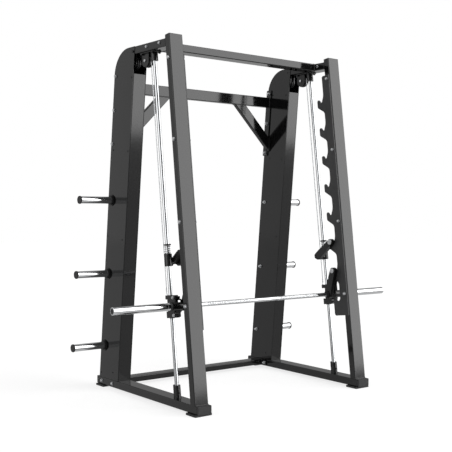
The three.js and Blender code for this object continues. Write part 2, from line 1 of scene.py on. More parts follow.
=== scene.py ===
import bpy
import json
import math
import numpy as np
from mathutils import Matrix, Vector
from mathutils.geometry import tessellate_polygon
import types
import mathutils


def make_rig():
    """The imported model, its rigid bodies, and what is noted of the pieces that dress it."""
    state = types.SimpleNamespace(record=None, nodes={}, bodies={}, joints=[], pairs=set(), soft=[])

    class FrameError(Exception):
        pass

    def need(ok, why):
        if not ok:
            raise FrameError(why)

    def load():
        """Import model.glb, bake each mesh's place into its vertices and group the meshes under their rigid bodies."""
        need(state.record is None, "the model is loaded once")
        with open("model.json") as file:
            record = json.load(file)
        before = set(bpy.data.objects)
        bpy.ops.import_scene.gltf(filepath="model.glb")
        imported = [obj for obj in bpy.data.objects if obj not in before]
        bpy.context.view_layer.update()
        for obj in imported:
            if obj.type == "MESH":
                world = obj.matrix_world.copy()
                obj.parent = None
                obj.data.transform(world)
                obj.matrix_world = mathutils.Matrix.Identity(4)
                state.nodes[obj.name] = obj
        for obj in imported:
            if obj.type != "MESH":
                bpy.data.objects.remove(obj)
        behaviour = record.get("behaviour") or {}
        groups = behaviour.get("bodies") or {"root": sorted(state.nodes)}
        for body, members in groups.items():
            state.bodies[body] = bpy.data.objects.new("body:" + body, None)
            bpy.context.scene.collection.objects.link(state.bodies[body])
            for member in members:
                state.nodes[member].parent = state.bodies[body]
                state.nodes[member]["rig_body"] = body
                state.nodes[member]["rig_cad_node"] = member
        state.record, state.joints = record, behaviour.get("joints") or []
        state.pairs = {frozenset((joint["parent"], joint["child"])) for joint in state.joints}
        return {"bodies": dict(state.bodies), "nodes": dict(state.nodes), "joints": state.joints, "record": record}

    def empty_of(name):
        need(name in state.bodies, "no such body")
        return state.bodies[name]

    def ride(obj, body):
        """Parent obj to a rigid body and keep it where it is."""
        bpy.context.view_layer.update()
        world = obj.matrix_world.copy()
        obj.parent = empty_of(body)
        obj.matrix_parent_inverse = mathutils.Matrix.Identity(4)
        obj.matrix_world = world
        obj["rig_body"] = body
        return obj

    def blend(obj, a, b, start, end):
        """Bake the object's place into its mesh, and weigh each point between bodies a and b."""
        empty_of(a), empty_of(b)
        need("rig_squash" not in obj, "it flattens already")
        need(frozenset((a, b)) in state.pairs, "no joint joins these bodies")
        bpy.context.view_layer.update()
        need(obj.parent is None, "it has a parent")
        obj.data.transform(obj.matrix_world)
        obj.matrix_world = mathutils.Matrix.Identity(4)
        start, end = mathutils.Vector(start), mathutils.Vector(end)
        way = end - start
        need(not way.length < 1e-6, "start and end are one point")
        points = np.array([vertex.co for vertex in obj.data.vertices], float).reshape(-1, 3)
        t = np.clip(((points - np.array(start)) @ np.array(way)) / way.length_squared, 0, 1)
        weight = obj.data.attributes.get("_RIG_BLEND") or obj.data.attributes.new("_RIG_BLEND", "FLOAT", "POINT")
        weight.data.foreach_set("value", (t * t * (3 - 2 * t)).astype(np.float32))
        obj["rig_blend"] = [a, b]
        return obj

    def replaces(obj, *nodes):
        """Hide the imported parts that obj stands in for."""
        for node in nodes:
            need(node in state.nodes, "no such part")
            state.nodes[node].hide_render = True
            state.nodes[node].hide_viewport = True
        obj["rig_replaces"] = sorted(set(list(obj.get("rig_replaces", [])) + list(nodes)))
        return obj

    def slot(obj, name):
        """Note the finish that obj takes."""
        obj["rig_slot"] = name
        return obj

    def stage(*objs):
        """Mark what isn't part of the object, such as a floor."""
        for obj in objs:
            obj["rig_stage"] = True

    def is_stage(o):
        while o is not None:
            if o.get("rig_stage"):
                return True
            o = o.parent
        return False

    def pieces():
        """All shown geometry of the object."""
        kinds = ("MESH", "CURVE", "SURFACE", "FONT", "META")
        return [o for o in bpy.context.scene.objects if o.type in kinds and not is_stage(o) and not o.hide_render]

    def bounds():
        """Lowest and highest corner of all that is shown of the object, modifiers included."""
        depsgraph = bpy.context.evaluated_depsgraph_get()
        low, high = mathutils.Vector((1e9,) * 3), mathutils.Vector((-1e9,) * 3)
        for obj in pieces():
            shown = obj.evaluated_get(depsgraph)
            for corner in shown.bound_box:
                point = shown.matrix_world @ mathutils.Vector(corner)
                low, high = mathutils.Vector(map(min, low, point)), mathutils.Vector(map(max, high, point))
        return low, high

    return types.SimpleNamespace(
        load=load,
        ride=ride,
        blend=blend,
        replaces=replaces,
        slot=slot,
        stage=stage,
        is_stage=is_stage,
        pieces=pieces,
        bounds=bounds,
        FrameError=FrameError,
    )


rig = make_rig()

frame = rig.load()
CAD_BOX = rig.bounds()

# ---------------------------------------------------------------- layout, mm, y measured from the rails' front end
YC = 595.0
LEAN = 0.1305
COS = 1 / math.hypot(1, LEAN)
SIN = LEAN * COS
XC = 678.0
ROD = Matrix.Translation((0, 274.4, 0)) @ Matrix.Rotation(-math.atan(LEAN), 4, "X")
MIRROR = Matrix.Diagonal((-1, 1, 1, 1))
YZ = Matrix(((0, 0, 1, 0), (1, 0, 0, 0), (0, 1, 0, 0), (0, 0, 0, 1)))      # (a, b, t) -> (t, a, b)
XZ = Matrix(((1, 0, 0, 0), (0, 0, -1, 0), (0, 1, 0, 0), (0, 0, 0, 1)))     # (a, b, t) -> (a, -t, b)
ZX = Matrix.Rotation(math.pi / 2, 4, "Y")                                   # +Z -> +X
T = Matrix.Translation


def col_front(z):
    return 914 - 0.0889 * (z - 63)


def col_rear(z):
    return 1161 - 0.0907 * z


# ---------------------------------------------------------------- materials
def nodes_of(name):
    m = bpy.data.materials.new(name)
    m.use_nodes = True
    nt = m.node_tree
    bsdf = nt.nodes["Principled BSDF"]
    return m, nt, bsdf


def N(nt, kind, **kw):
    n = nt.nodes.new(kind)
    for k, v in kw.items():
        if k in n.inputs:
            n.inputs[k].default_value = v
        else:
            setattr(n, k, v)
    return n


def coords(nt):
    return N(nt, "ShaderNodeTexCoord").outputs["Object"]


def noise(nt, src, scale, detail=2.0, rough=0.5):
    n = N(nt, "ShaderNodeTexNoise")
    n.inputs["Scale"].default_value = scale
    n.inputs["Detail"].default_value = detail
    n.inputs["Roughness"].default_value = rough
    nt.links.new(src, n.inputs["Vector"])
    return n.outputs["Fac"]


def ramp(nt, src, p0, p1, v0, v1):
    r = N(nt, "ShaderNodeMapRange")
    r.inputs["From Min"].default_value = p0
    r.inputs["From Max"].default_value = p1
    r.inputs["To Min"].default_value = v0
    r.inputs["To Max"].default_value = v1
    nt.links.new(src, r.inputs["Value"])
    return r.outputs["Result"]


def bump(nt, height, strength, distance, bsdf, normal=None):
    b = N(nt, "ShaderNodeBump")
    b.inputs["Strength"].default_value = strength
    b.inputs["Distance"].default_value = distance
    nt.links.new(height, b.inputs["Height"])
    if normal is not None:
        nt.links.new(normal, b.inputs["Normal"])
    nt.links.new(b.outputs["Normal"], bsdf.inputs["Normal"])
    return b.outputs["Normal"]


def tint(nt, src, c0, c1, p0=0.3, p1=0.7):
    r = N(nt, "ShaderNodeValToRGB")
    r.color_ramp.elements[0].position = p0
    r.color_ramp.elements[1].position = p1
    r.color_ramp.elements[0].color = (*c0, 1)
    r.color_ramp.elements[1].color = (*c1, 1)
    nt.links.new(src, r.inputs["Fac"])
    return r.outputs["Color"]


def powder(name, base, rough, grain=1.0, spec=0.5):
    """Powder coat: a smooth film with a faint orange peel, slightly uneven in tone and gloss."""
    m, nt, b = nodes_of(name)
    c = coords(nt)
    big = noise(nt, c, 6.0, 3.0)
    nt.links.new(tint(nt, big, [x * 0.8 for x in base], [x * 1.2 for x in base]), b.inputs["Base Color"])
    fine = noise(nt, c, 900.0, 2.0)
    mid = noise(nt, c, 260.0, 3.0, 0.6)
    nt.links.new(ramp(nt, mid, 0.3, 0.7, rough - 0.02, rough + 0.03), b.inputs["Roughness"])
    n1 = bump(nt, mid, 0.05 * grain, 0.0003, b)
    bump(nt, fine, 0.06 * grain, 0.0001, b, n1)
    b.inputs["Specular IOR Level"].default_value = spec
    return m


def chrome(name, base=(0.83, 0.84, 0.85), rough=0.09):
    m, nt, b = nodes_of(name)
    c = coords(nt)
    b.inputs["Metallic"].default_value = 1.0
    nt.links.new(tint(nt, noise(nt, c, 9.0, 3.0), [x * 0.95 for x in base], base), b.inputs["Base Color"])
    smudge = noise(nt, c, 34.0, 5.0, 0.62)
    nt.links.new(ramp(nt, smudge, 0.35, 0.75, rough, rough + 0.07), b.inputs["Roughness"])
    bump(nt, noise(nt, c, 1500.0, 2.0), 0.05, 0.00005, b)
    return m


def knurl(name):
    """Chrome with a diamond knurl cut into it, from two crossed wave sets round the bar."""
    m, nt, b = nodes_of(name)
    b.inputs["Metallic"].default_value = 1.0
    b.inputs["Base Color"].default_value = (0.62, 0.63, 0.64, 1)
    b.inputs["Roughness"].default_value = 0.24
    c = coords(nt)
    sep = N(nt, "ShaderNodeSeparateXYZ")
    nt.links.new(c, sep.inputs[0])
    by, bz = (BAR_Y - YC) / 1000, BAR_Z / 1000
    dy = N(nt, "ShaderNodeMath", operation="SUBTRACT")
    nt.links.new(sep.outputs["Y"], dy.inputs[0]); dy.inputs[1].default_value = by
    dz = N(nt, "ShaderNodeMath", operation="SUBTRACT")
    nt.links.new(sep.outputs["Z"], dz.inputs[0]); dz.inputs[1].default_value = bz
    ang = N(nt, "ShaderNodeMath", operation="ARCTAN2")
    nt.links.new(dy.outputs[0], ang.inputs[0]); nt.links.new(dz.outputs[0], ang.inputs[1])
    outs = []
    for s in (1, -1):
        a = N(nt, "ShaderNodeMath", operation="MULTIPLY"); nt.links.new(ang.outputs[0], a.inputs[0]); a.inputs[1].default_value = 40.0 * s
        x = N(nt, "ShaderNodeMath", operation="MULTIPLY_ADD"); nt.links.new(sep.outputs["X"], x.inputs[0]); x.inputs[1].default_value = 2600.0
        nt.links.new(a.outputs[0], x.inputs[2])
        w = N(nt, "ShaderNodeMath", operation="SINE"); nt.links.new(x.outputs[0], w.inputs[0])
        outs.append(w.outputs[0])
    mn = N(nt, "ShaderNodeMath", operation="MINIMUM")
    nt.links.new(outs[0], mn.inputs[0]); nt.links.new(outs[1], mn.inputs[1])
    bump(nt, mn.outputs[0], 0.7, 0.0004, b)
    return m


def metal(name, base, rough, scale=420.0, strength=0.12):
    m, nt, b = nodes_of(name)
    c = coords(nt)
    b.inputs["Metallic"].default_value = 1.0
    nt.links.new(tint(nt, noise(nt, c, 60.0, 4.0), [x * 0.8 for x in base], base), b.inputs["Base Color"])
    nt.links.new(ramp(nt, noise(nt, c, 180.0, 3.0), 0.3, 0.7, rough - 0.06, rough + 0.08), b.inputs["Roughness"])
    bump(nt, noise(nt, c, scale, 3.0), strength, 0.0002, b)
    return m


def plastic(name, base, rough, scale=700.0, strength=0.15, dist=0.0002, spec=0.5):
    m, nt, b = nodes_of(name)
    b.inputs["Specular IOR Level"].default_value = spec
    c = coords(nt)
    nt.links.new(tint(nt, noise(nt, c, 25.0, 3.0), [x * 0.85 for x in base], [x * 1.15 for x in base]), b.inputs["Base Color"])
    nt.links.new(ramp(nt, noise(nt, c, 120.0, 3.0), 0.3, 0.7, rough - 0.05, rough + 0.06), b.inputs["Roughness"])
    bump(nt, noise(nt, c, scale, 4.0, 0.6), strength, dist, b)
    return m


BAR_Y, BAR_Z = (ROD @ Vector((0, -84.6, 622.3))).yz
M_FRAME = powder("powder_coat_black", (0.0036, 0.0036, 0.0037), 0.085)
M_PANEL = powder("powder_coat_panel", (0.0038, 0.0038, 0.0039), 0.085, 0.8)
M_FIT = powder("black_coated_fitting", (0.0032, 0.0032, 0.0033), 0.22, 1.4, 0.42)
M_MATTE = plastic("matt_black_casting", (0.0045, 0.0045, 0.0046), 0.5, 500.0, 0.3, 0.0003, 0.22)
M_HOOK = powder("satin_black_plate", (0.022, 0.022, 0.0225), 0.46, 1.4, 0.45)
M_CHROME = chrome("hard_chrome", (0.80, 0.81, 0.82))
M_ROD = chrome("ground_chrome_rod", (0.52, 0.53, 0.54), 0.10)
M_KNURL = knurl("knurled_chrome")
M_ZINC = metal("zinc_plated_bolt", (0.62, 0.63, 0.64), 0.28)
M_STEEL = metal("ground_steel", (0.58, 0.59, 0.60), 0.24, 900.0, 0.08)
M_ROPE = metal("galvanised_wire", (0.46, 0.47, 0.48), 0.36, 1200.0, 0.1)
M_SPRING = metal("spring_steel", (0.50, 0.50, 0.51), 0.26, 900.0, 0.1)
M_RUBBER = plastic("moulded_rubber", (0.011, 0.011, 0.0115), 0.62, 380.0, 0.22, 0.0003)
M_NYLON = plastic("black_nylon", (0.016, 0.016, 0.017), 0.40)
M_IRON = powder("cast_weight", (0.03, 0.03, 0.031), 0.5, 1.6)
SLOT = {M_MATTE: "black_fittings", M_HOOK: "black_fittings", M_ROD: "chrome", M_FRAME: "powder_coat", M_PANEL: "powder_coat", M_FIT: "black_fittings", M_CHROME: "chrome", M_KNURL: "chrome",
        M_ZINC: "steel", M_STEEL: "steel", M_ROPE: "steel", M_SPRING: "steel", M_RUBBER: "rubber", M_NYLON: "nylon", M_IRON: "steel"}


# ---------------------------------------------------------------- outlines (2D, counter-clockwise)
def arc(cx, cy, r, a0, a1, n):
    return [(cx + r * math.cos(a0 + (a1 - a0) * i / n), cy + r * math.sin(a0 + (a1 - a0) * i / n)) for i in range(n + 1)]


def rrect(cx, cy, w, h, r, n=6):
    p = []
    for sx, sy, a in ((1, -1, -90), (1, 1, 0), (-1, 1, 90), (-1, -1, 180)):
        p += arc(cx + sx * (w / 2 - r), cy + sy * (h / 2 - r), r, math.radians(a), math.radians(a + 90), n)
    return p


def ring(cx, cy, r, n=48):
    return [(cx + r * math.cos(2 * math.pi * i / n), cy + r * math.sin(2 * math.pi * i / n)) for i in range(n)]


def quad(p0, p1, p2, n=6):
    out = []
    for i in range(1, n + 1):
        t = i / n
        out.append(tuple((1 - t) ** 2 * a + 2 * t * (1 - t) * b + t * t * c for a, b, c in zip(p0, p1, p2)))
    return out


def dedupe(p, eps=1e-4):
    out = []
    for q in p:
        if not out or math.hypot(q[0] - out[-1][0], q[1] - out[-1][1]) > eps:
            out.append(q)
    if math.hypot(out[0][0] - out[-1][0], out[0][1] - out[-1][1]) < eps:
        out.pop()
    return out


def area(p):
    return 0.5 * sum(p[i][0] * p[(i + 1) % len(p)][1] - p[(i + 1) % len(p)][0] * p[i][1] for i in range(len(p)))


def inset(p, d):
    """Moves a loop to its left by d: inwards for a counter-clockwise outline, into the material for a clockwise hole."""
    n = len(p)
    out = []
    for i in range(n):
        x0, y0 = p[i - 1]; x1, y1 = p[i]; x2, y2 = p[(i + 1) % n]
        l1 = math.hypot(x1 - x0, y1 - y0) or 1; l2 = math.hypot(x2 - x1, y2 - y1) or 1
        n1 = (-(y1 - y0) / l1, (x1 - x0) / l1); n2 = (-(y2 - y1) / l2, (x2 - x1) / l2)
        k = max(0.35, 1 + n1[0] * n2[0] + n1[1] * n2[1])
        out.append((x1 + d * (n1[0] + n2[0]) / k, y1 + d * (n1[1] + n2[1]) / k))
    return out


# ---------------------------------------------------------------- solids: each returns (vertices, faces)
def prism(outer, t0, t1, bevel=0.0, segs=2, holes=(), ends=None):
    """Extrusion along t with rounded rims. ends(a, b, t) may move the end rings along t."""
    outer = dedupe(outer)
    if area(outer) < 0:
        outer = outer[::-1]
    loops = [outer]
    for h in holes:
        h = dedupe(h)
        loops.append(h if area(h) < 0 else h[::-1])
    if bevel > 0:
        # q = 0 is the rim's inner ring: full inset at the cap, none at the side
        steps = [(t0 + bevel * (1 - math.cos(math.pi / 2 * i / segs)), bevel * (1 - math.sin(math.pi / 2 * i / segs)), 0) for i in range(segs + 1)]
        up = [(t1 - bevel * (1 - math.cos(math.pi / 2 * i / segs)), bevel * (1 - math.sin(math.pi / 2 * i / segs)), 1) for i in range(segs, -1, -1)]
        steps += up
    else:
        steps = [(t0, 0, 0), (t1, 0, 1)]
    verts, faces, rings = [], [], []
    for t, d, end in steps:
        row = []
        for lp in loops:
            q = inset(lp, d) if d else lp
            start = len(verts)
            for a, b in q:
                tt = ends(a, b, t) if ends else t
                verts.append((a, b, tt))
            row.append((start, len(q)))
        rings.append(row)
    for r0, r1 in zip(rings, rings[1:]):
        for (s0, n), (s1, _) in zip(r0, r1):
            for i in range(n):
                j = (i + 1) % n
                faces.append((s0 + i, s0 + j, s1 + j, s1 + i))
    for row, flip in ((rings[0], True), (rings[-1], False)):
        polys = [[Vector((verts[s + i][0], verts[s + i][1], 0)) for i in range(n)] for s, n in row]
        flat = [s + i for s, n in row for i in range(n)]
        if len(row) == 1 and is_convex(polys[0]):
            f = tuple(flat)
            faces.append(f[::-1] if flip else f)
            continue
        for tri in tessellate_polygon(polys):
            a, b, c = (flat[k] for k in tri)
            A, B, C = verts[a], verts[b], verts[c]
            s = (B[0] - A[0]) * (C[1] - A[1]) - (C[0] - A[0]) * (B[1] - A[1])
            if (s < 0) != flip:
                a, b = b, a
            faces.append((a, b, c))
    return verts, faces


def is_convex(p):
    n = len(p)
    for i in range(n):
        a, b, c = p[i - 1], p[i], p[(i + 1) % n]
        if (b.x - a.x) * (c.y - b.y) - (b.y - a.y) * (c.x - b.x) < -1e-7:
            return False
    return True


def lathe(profile, n=48, closed=False):
    """Turned about +Z from (height, radius) pairs, starting and ending on the axis unless closed."""
    verts, faces, rows = [], [], []
    for z, r in profile:
        if r < 1e-6:
            rows.append([len(verts)])
            verts.append((0, 0, z))
        else:
            rows.append(list(range(len(verts), len(verts) + n)))
            verts += [(r * math.cos(2 * math.pi * i / n), r * math.sin(2 * math.pi * i / n), z) for i in range(n)]
    pairs = list(zip(rows, rows[1:])) + ([(rows[-1], rows[0])] if closed else [])
    for a, b in pairs:
        for i in range(n):
            j = (i + 1) % n
            if len(a) == 1 and len(b) == 1:
                continue
            if len(a) == 1:
                faces.append((a[0], b[j], b[i]))
            elif len(b) == 1:
                faces.append((a[i], a[j], b[0]))
            else:
                faces.append((a[i], a[j], b[j], b[i]))
    vol = 0
    for f in faces:
        p = [Vector(verts[k]) for k in f]
        for k in range(1, len(p) - 1):
            vol += p[0].dot(p[k].cross(p[k + 1]))
    if vol < 0:
        faces = [f[::-1] for f in faces]
    return verts, faces


def turned(u0, u1, r, b=1.0, n=48, segs=3):
    """Cylinder from u0 to u1 with rounded rims."""
    p = [(u0, 0)] + [(u0 + b * (1 - math.cos(math.pi / 2 * i / segs)), r - b * (1 - math.sin(math.pi / 2 * i / segs))) for i in range(segs + 1)]
    p += [(u1 - b * (1 - math.cos(math.pi / 2 * i / segs)), r - b * (1 - math.sin(math.pi / 2 * i / segs))) for i in range(segs, -1, -1)]
    p.append((u1, 0))
    return lathe(p, n)


def collar(u0, u1, r0, r1, b=0.8, n=48):
    """Ring from u0 to u1, bore r0, outside r1, with broken edges."""
    p = [(u0 + b, r0), (u0, r0 + b), (u0, r1 - b), (u0 + b * 0.3, r1 - b * 0.3), (u0 + b, r1), (u1 - b, r1), (u1 - b * 0.3, r1 - b * 0.3), (u1, r1 - b), (u1, r0 + b), (u1 - b, r0)]
    return lathe(p, n, closed=True)


def tube_along(path, r, n=8, close=False, wave=None):
    """Round section swept along 3D points, with flat ends."""
    pts = [Vector(p) for p in path]
    m = len(pts)
    tang = []
    for i in range(m):
        a = pts[(i - 1) % m] if close or i else pts[i]
        b = pts[(i + 1) % m] if close or i < m - 1 else pts[i]
        tang.append((b - a).normalized())
    ref = Vector((0, 0, 1)) if abs(tang[0].z) < 0.9 else Vector((1, 0, 0))
    nrm = (ref - tang[0] * ref.dot(tang[0])).normalized()
    verts, faces = [], []
    for i in range(m):
        nrm = (nrm - tang[i] * nrm.dot(tang[i])).normalized()
        bi = tang[i].cross(nrm)
        rr = r(i) if callable(r) else r
        for k in range(n):
            q = 2 * math.pi * k / n
            verts.append(tuple(pts[i] + (nrm * math.cos(q) + bi * math.sin(q)) * rr))
    for i in range(m if close else m - 1):
        a, b = i * n, ((i + 1) % m) * n
        for k in range(n):
            j = (k + 1) % n
            faces.append((a + k, a + j, b + j, b + k))
    if not close:
        faces.append(tuple(range(n))[::-1])
        faces.append(tuple((m - 1) * n + k for k in range(n)))
    return verts, faces


def hex_head(s, h, t0=0.0, n=6, chamfer=0.9):
    """Hexagon of width s across flats, standing from t0 to t0 + h, with a turned chamfer on top and a dished centre."""
    r = s / 2 / math.cos(math.pi / 6)
    hexa = [(r * math.cos(math.pi / 3 * i), r * math.sin(math.pi / 3 * i)) for i in range(6)]
    # densify each side so that the chamfer curves
    pts = []
    for i in range(6):
        a, b = hexa[i], hexa[(i + 1) % 6]
        for k in range(6):
            pts.append((a[0] + (b[0] - a[0]) * k / 6, a[1] + (b[1] - a[1]) * k / 6))
    rin = s / 2 - 0.3
    verts, faces = [], []
    rows = []
    def add(fn):
        rows.append(list(range(len(verts), len(verts) + len(pts))))
        for a, b in pts:
            verts.append(fn(a, b))
    add(lambda a, b: (a, b, t0))
    add(lambda a, b: (a, b, t0 + h - max(0.0, (math.hypot(a, b) - rin) * 0.55) - 0.1))
    add(lambda a, b: (a / math.hypot(a, b) * rin, b / math.hypot(a, b) * rin, t0 + h))
    add(lambda a, b: (a / math.hypot(a, b) * rin * 0.62, b / math.hypot(a, b) * rin * 0.62, t0 + h))
    add(lambda a, b: (a / math.hypot(a, b) * rin * 0.56, b / math.hypot(a, b) * rin * 0.56, t0 + h - 0.35))
    n = len(pts)
    for a, b in zip(rows, rows[1:]):
        for i in range(n):
            j = (i + 1) % n
            faces.append((a[i], a[j], b[j], b[i]))
    faces.append(tuple(rows[0])[::-1])
    faces.append(tuple(rows[-1]))
    return verts, faces


def button_head(r, h, hexs):
    """Domed screw head with a hexagon socket."""
    n = 36
    def hexr(q):
        q = (q + math.pi / 6) % (math.pi / 3) - math.pi / 6
        return hexs / 2 / math.cos(q)
    verts, faces, rows = [], [], []
    prof = [(0, r), (h * 0.35, r), (h * 0.72, r * 0.86), (h * 0.94, r * 0.66), (h, r * 0.52)]
    for z, rr in prof:
        rows.append(list(range(len(verts), len(verts) + n)))
        verts += [(rr * math.cos(2 * math.pi * i / n), rr * math.sin(2 * math.pi * i / n), z) for i in range(n)]
    for z in (h, h * 0.3):
        rows.append(list(range(len(verts), len(verts) + n)))
        verts += [(hexr(2 * math.pi * i / n) * math.cos(2 * math.pi * i / n), hexr(2 * math.pi * i / n) * math.sin(2 * math.pi * i / n), z) for i in range(n)]
    for a, b in zip(rows, rows[1:]):
        for i in range(n):
            j = (i + 1) % n
            faces.append((a[i], a[j], b[j], b[i]))
    faces.append(tuple(rows[0])[::-1])
    faces.append(tuple(rows[-1]))
    return verts, faces


class Piece:
    """Collects solids in mm and makes one mesh object of them."""

    def __init__(self, *mats):
        self.mats, self.v, self.f, self.m = list(mats), [], [], []

    def add(self, shape, M=None, mat=None):
        verts, faces = shape
        M = M or Matrix.Identity(4)
        flip = M.to_3x3().determinant() < 0
        k = len(self.v)
        self.v += [M @ Vector(p) for p in verts]
        if mat is not None and mat not in self.mats:
            self.mats.append(mat)
        mi = self.mats.index(mat) if mat is not None else 0
        for f in faces:
            f = tuple(i + k for i in f)
            self.f.append(f[::-1] if flip else f)
            self.m.append(mi)
        return self

    def make(self, name, body, replaces=(), sharp=32, mirror=False, ride=True):
        V = [((-p.x if mirror else p.x) / 1000, (p.y - YC) / 1000, p.z / 1000) for p in self.v]
        F = [f[::-1] for f in self.f] if mirror else self.f
        me = bpy.data.meshes.new(name)
        me.from_pydata(V, [], F)
        for m in self.mats:
            me.materials.append(m)
        me.polygons.foreach_set("material_index", self.m)
        me.update()
        me.validate(verbose=False)
        me.polygons.foreach_set("use_smooth", [True] * len(me.polygons))
        me.set_sharp_from_angle(angle=math.radians(sharp))
        ob = bpy.data.objects.new(name, me)
        bpy.context.scene.collection.objects.link(ob)
        w = ob.modifiers.new("weighted", "WEIGHTED_NORMAL")
        w.keep_sharp = True
        w.weight = 90
        bpy.context.view_layer.update()
        dg = bpy.context.evaluated_depsgraph_get()
        new = bpy.data.meshes.new_from_object(ob.evaluated_get(dg), preserve_all_data_layers=True, depsgraph=dg)
        ob.modifiers.clear()
        ob.data = new
        new.name = name
        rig.slot(ob, SLOT[self.mats[0]])
        if replaces:
            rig.replaces(ob, *replaces)
        if ride:
            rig.ride(ob, body)
        return ob

    def both(self, name, body, replaces=(), sharp=32, sided=False):
        """Right-hand piece and its mirror image on the left. body and replaces may hold {} for the side's name."""
        for side, mir in (("right", False), ("left", True)):
            self.make(f"{name}_{side}", body.format(side), [r.format(side) for r in replaces], sharp, mir)


def weld(path, r=2.6, pitch=4.5, close=False):
    """Weld bead along 3D points, with the ripple of its passes."""
    pts = [Vector(p) for p in path]
    if close:
        pts.append(pts[0])
    fine = []
    for a, b in zip(pts, pts[1:]):
        n = max(2, int((b - a).length / (pitch / 4)))
        fine += [a.lerp(b, i / n) for i in range(n)]
    if not close:
        fine.append(pts[-1])
    return tube_along(fine, lambda i: r * (0.86 + 0.14 * abs(math.sin(i * math.pi / 4))), 8, close)


# ---------------------------------------------------------------- fasteners
# dark metal for the fasteners drawn dark instead of zinc, among them the bolt heads on the outer face of the brace and
# hook plates
M_DARK = metal("black_zinc_bolt", (0.045, 0.045, 0.047), 0.34)
SLOT[M_DARK] = "steel"
R_ = Matrix.Rotation
DIR = {"+x": R_(math.pi / 2, 4, "Y"), "-x": R_(-math.pi / 2, 4, "Y"), "-y": R_(math.pi / 2, 4, "X"), "+y": R_(-math.pi / 2, 4, "X"),
       "+z": Matrix.Identity(4), "-z": R_(math.pi, 4, "X")}


def at(x, y, z, d, turn=0.0):
    return T((x, y, z)) @ DIR[d] @ R_(turn, 4, "Z")


def bolt(p, M, s=19.0, h=7.5, washer=24.0, mat=None, shank=None):
    """Hexagon head on its washer; shank = (radius, length) adds a thread end standing past it."""
    mat = mat or M_ZINC
    k = 0.0
    if washer:
        p.add(turned(-0.2, 2.3, washer / 2, 0.5, 36), M, mat)
        k = 2.3
    p.add(hex_head(s, h, k - 0.05), M, mat)
    if shank:
        r, n = shank
        prof = [(k, 0), (k, r)]
        u = k + h - 0.6
        while u < k + h + n - 1.2:
            prof += [(u, r), (u + 0.55, r - 0.75), (u + 1.1, r)]
            u += 1.5
        prof += [(u + 0.4, r - 1.0), (u + 0.4, 0)]
        p.add(lathe(prof, 20), M, mat)


def screw(p, M, r=5.6, h=3.2, mat=None):
    p.add(button_head(r, h, r * 0.95), M @ T((0, 0, -0.05)), mat or M_ZINC)


def warp(shape, fn):
    v, f = shape
    return [fn(*p) for p in v], f


# ---------------------------------------------------------------- base
def rails():
    p = Piece(M_FRAME)
    zc = (13.6 + 64) / 2
    p.add(prism(rrect(XC, zc, 100, 50.4, 6, 7), -1187.0, -14.3, 0.5), XZ)
    p.add(prism(rrect(XC, zc, 99.4, 49.8, 5.5, 7), -1190.0, -1187.0, 0.8), XZ)
    p.both("rail", "frame", ["base_rail_{}"])
    w = Piece(M_FRAME)
    # bead round the foot of the upright and round the foot of the rear post
    y0, y1 = 177 + LEAN * (64 - 1180.5), 177 + LEAN * (64 - 1180.5) + 50 / COS
    w.add(weld([(x, y, 64.6) for x, y in rrect(XC, (y0 + y1) / 2, 99, y1 - y0 + 1.5, 6, 4)], 2.3, 4.5, True))
    yc = 274.4 + LEAN * 64
    w.add(weld([(x, y, 64.5) for x, y in ring(XC, yc, 23.6, 40)], 2.0, 4.0, True))
    w.both("rail_weld", "frame")
    b = Piece(M_ZINC)
    bolt(b, at(728, 1123, 39, "+x", 0.3), 17, 7, 24)
    bolt(b, at(728, 984, 40, "+x", 0.9), 17, 7, 24)
    bolt(b, at(619.7, 984, 40, "-x", 0.2), 17, 8, 24, None, (5, 9))
    bolt(b, at(619.7, 1116, 40, "-x", 0.7), 17, 8, 24, None, (5, 9))
    b.both("base_bolts", "frame")


def feet():
    p = Piece(M_RUBBER)
    zc = (13.6 + 64) / 2
    p.add(prism(rrect(XC, zc, 99.6, 50, 6, 7), -14, 0, 1.8, 4), XZ)
    p.add(prism(rrect(XC, zc, 88, 38, 5, 6), -1, 0.9, 0.8, 2), XZ)
    p.add(prism(rrect(XC, 60, 126, 100, 7, 7), 0, 13.3, 2.2, 4))
    for k in range(5):
        p.add(prism(rrect(XC, 22 + 19 * k, 127.2, 6, 2.5, 4), 1.0, 10.8, 0.6))
    p.add(prism(rrect(XC, 12, 80, 5, 1, 2), 4, 30))
    p.both("foot_front", "frame", ["front_foot_{}"])
    q = Piece(M_RUBBER)
    q.add(prism(rrect(XC, 1136, 126, 100, 7, 7), 0, 13.3, 2.2, 4))
    for k in range(5):
        q.add(prism(rrect(XC, 1098 + 19 * k, 127.2, 6, 2.5, 4), 1.0, 10.8, 0.6))
    q.both("foot_rear", "frame", ["rear_foot_{}"])


def base_beam():
    p = Piece(M_FRAME)
    yc, zc = 1050, 42
    p.add(prism(rrect(yc, zc, 80, 40, 5, 6), -619.0, 619.0, 0.4), YZ)
    for s in (1, -1):
        x0 = 619.7 if s > 0 else -627.7
        p.add(prism(rrect(yc, 39.75, 172, 45.5, 5, 5), x0, x0 + 8, 0.8), YZ)
        p.add(weld([(s * 618.6, y, z) for y, z in rrect(yc, zc, 81, 41, 5, 4)], 2.4, 4.5, True))
    p.make("base_beam", "frame", ["base_crossbeam"])


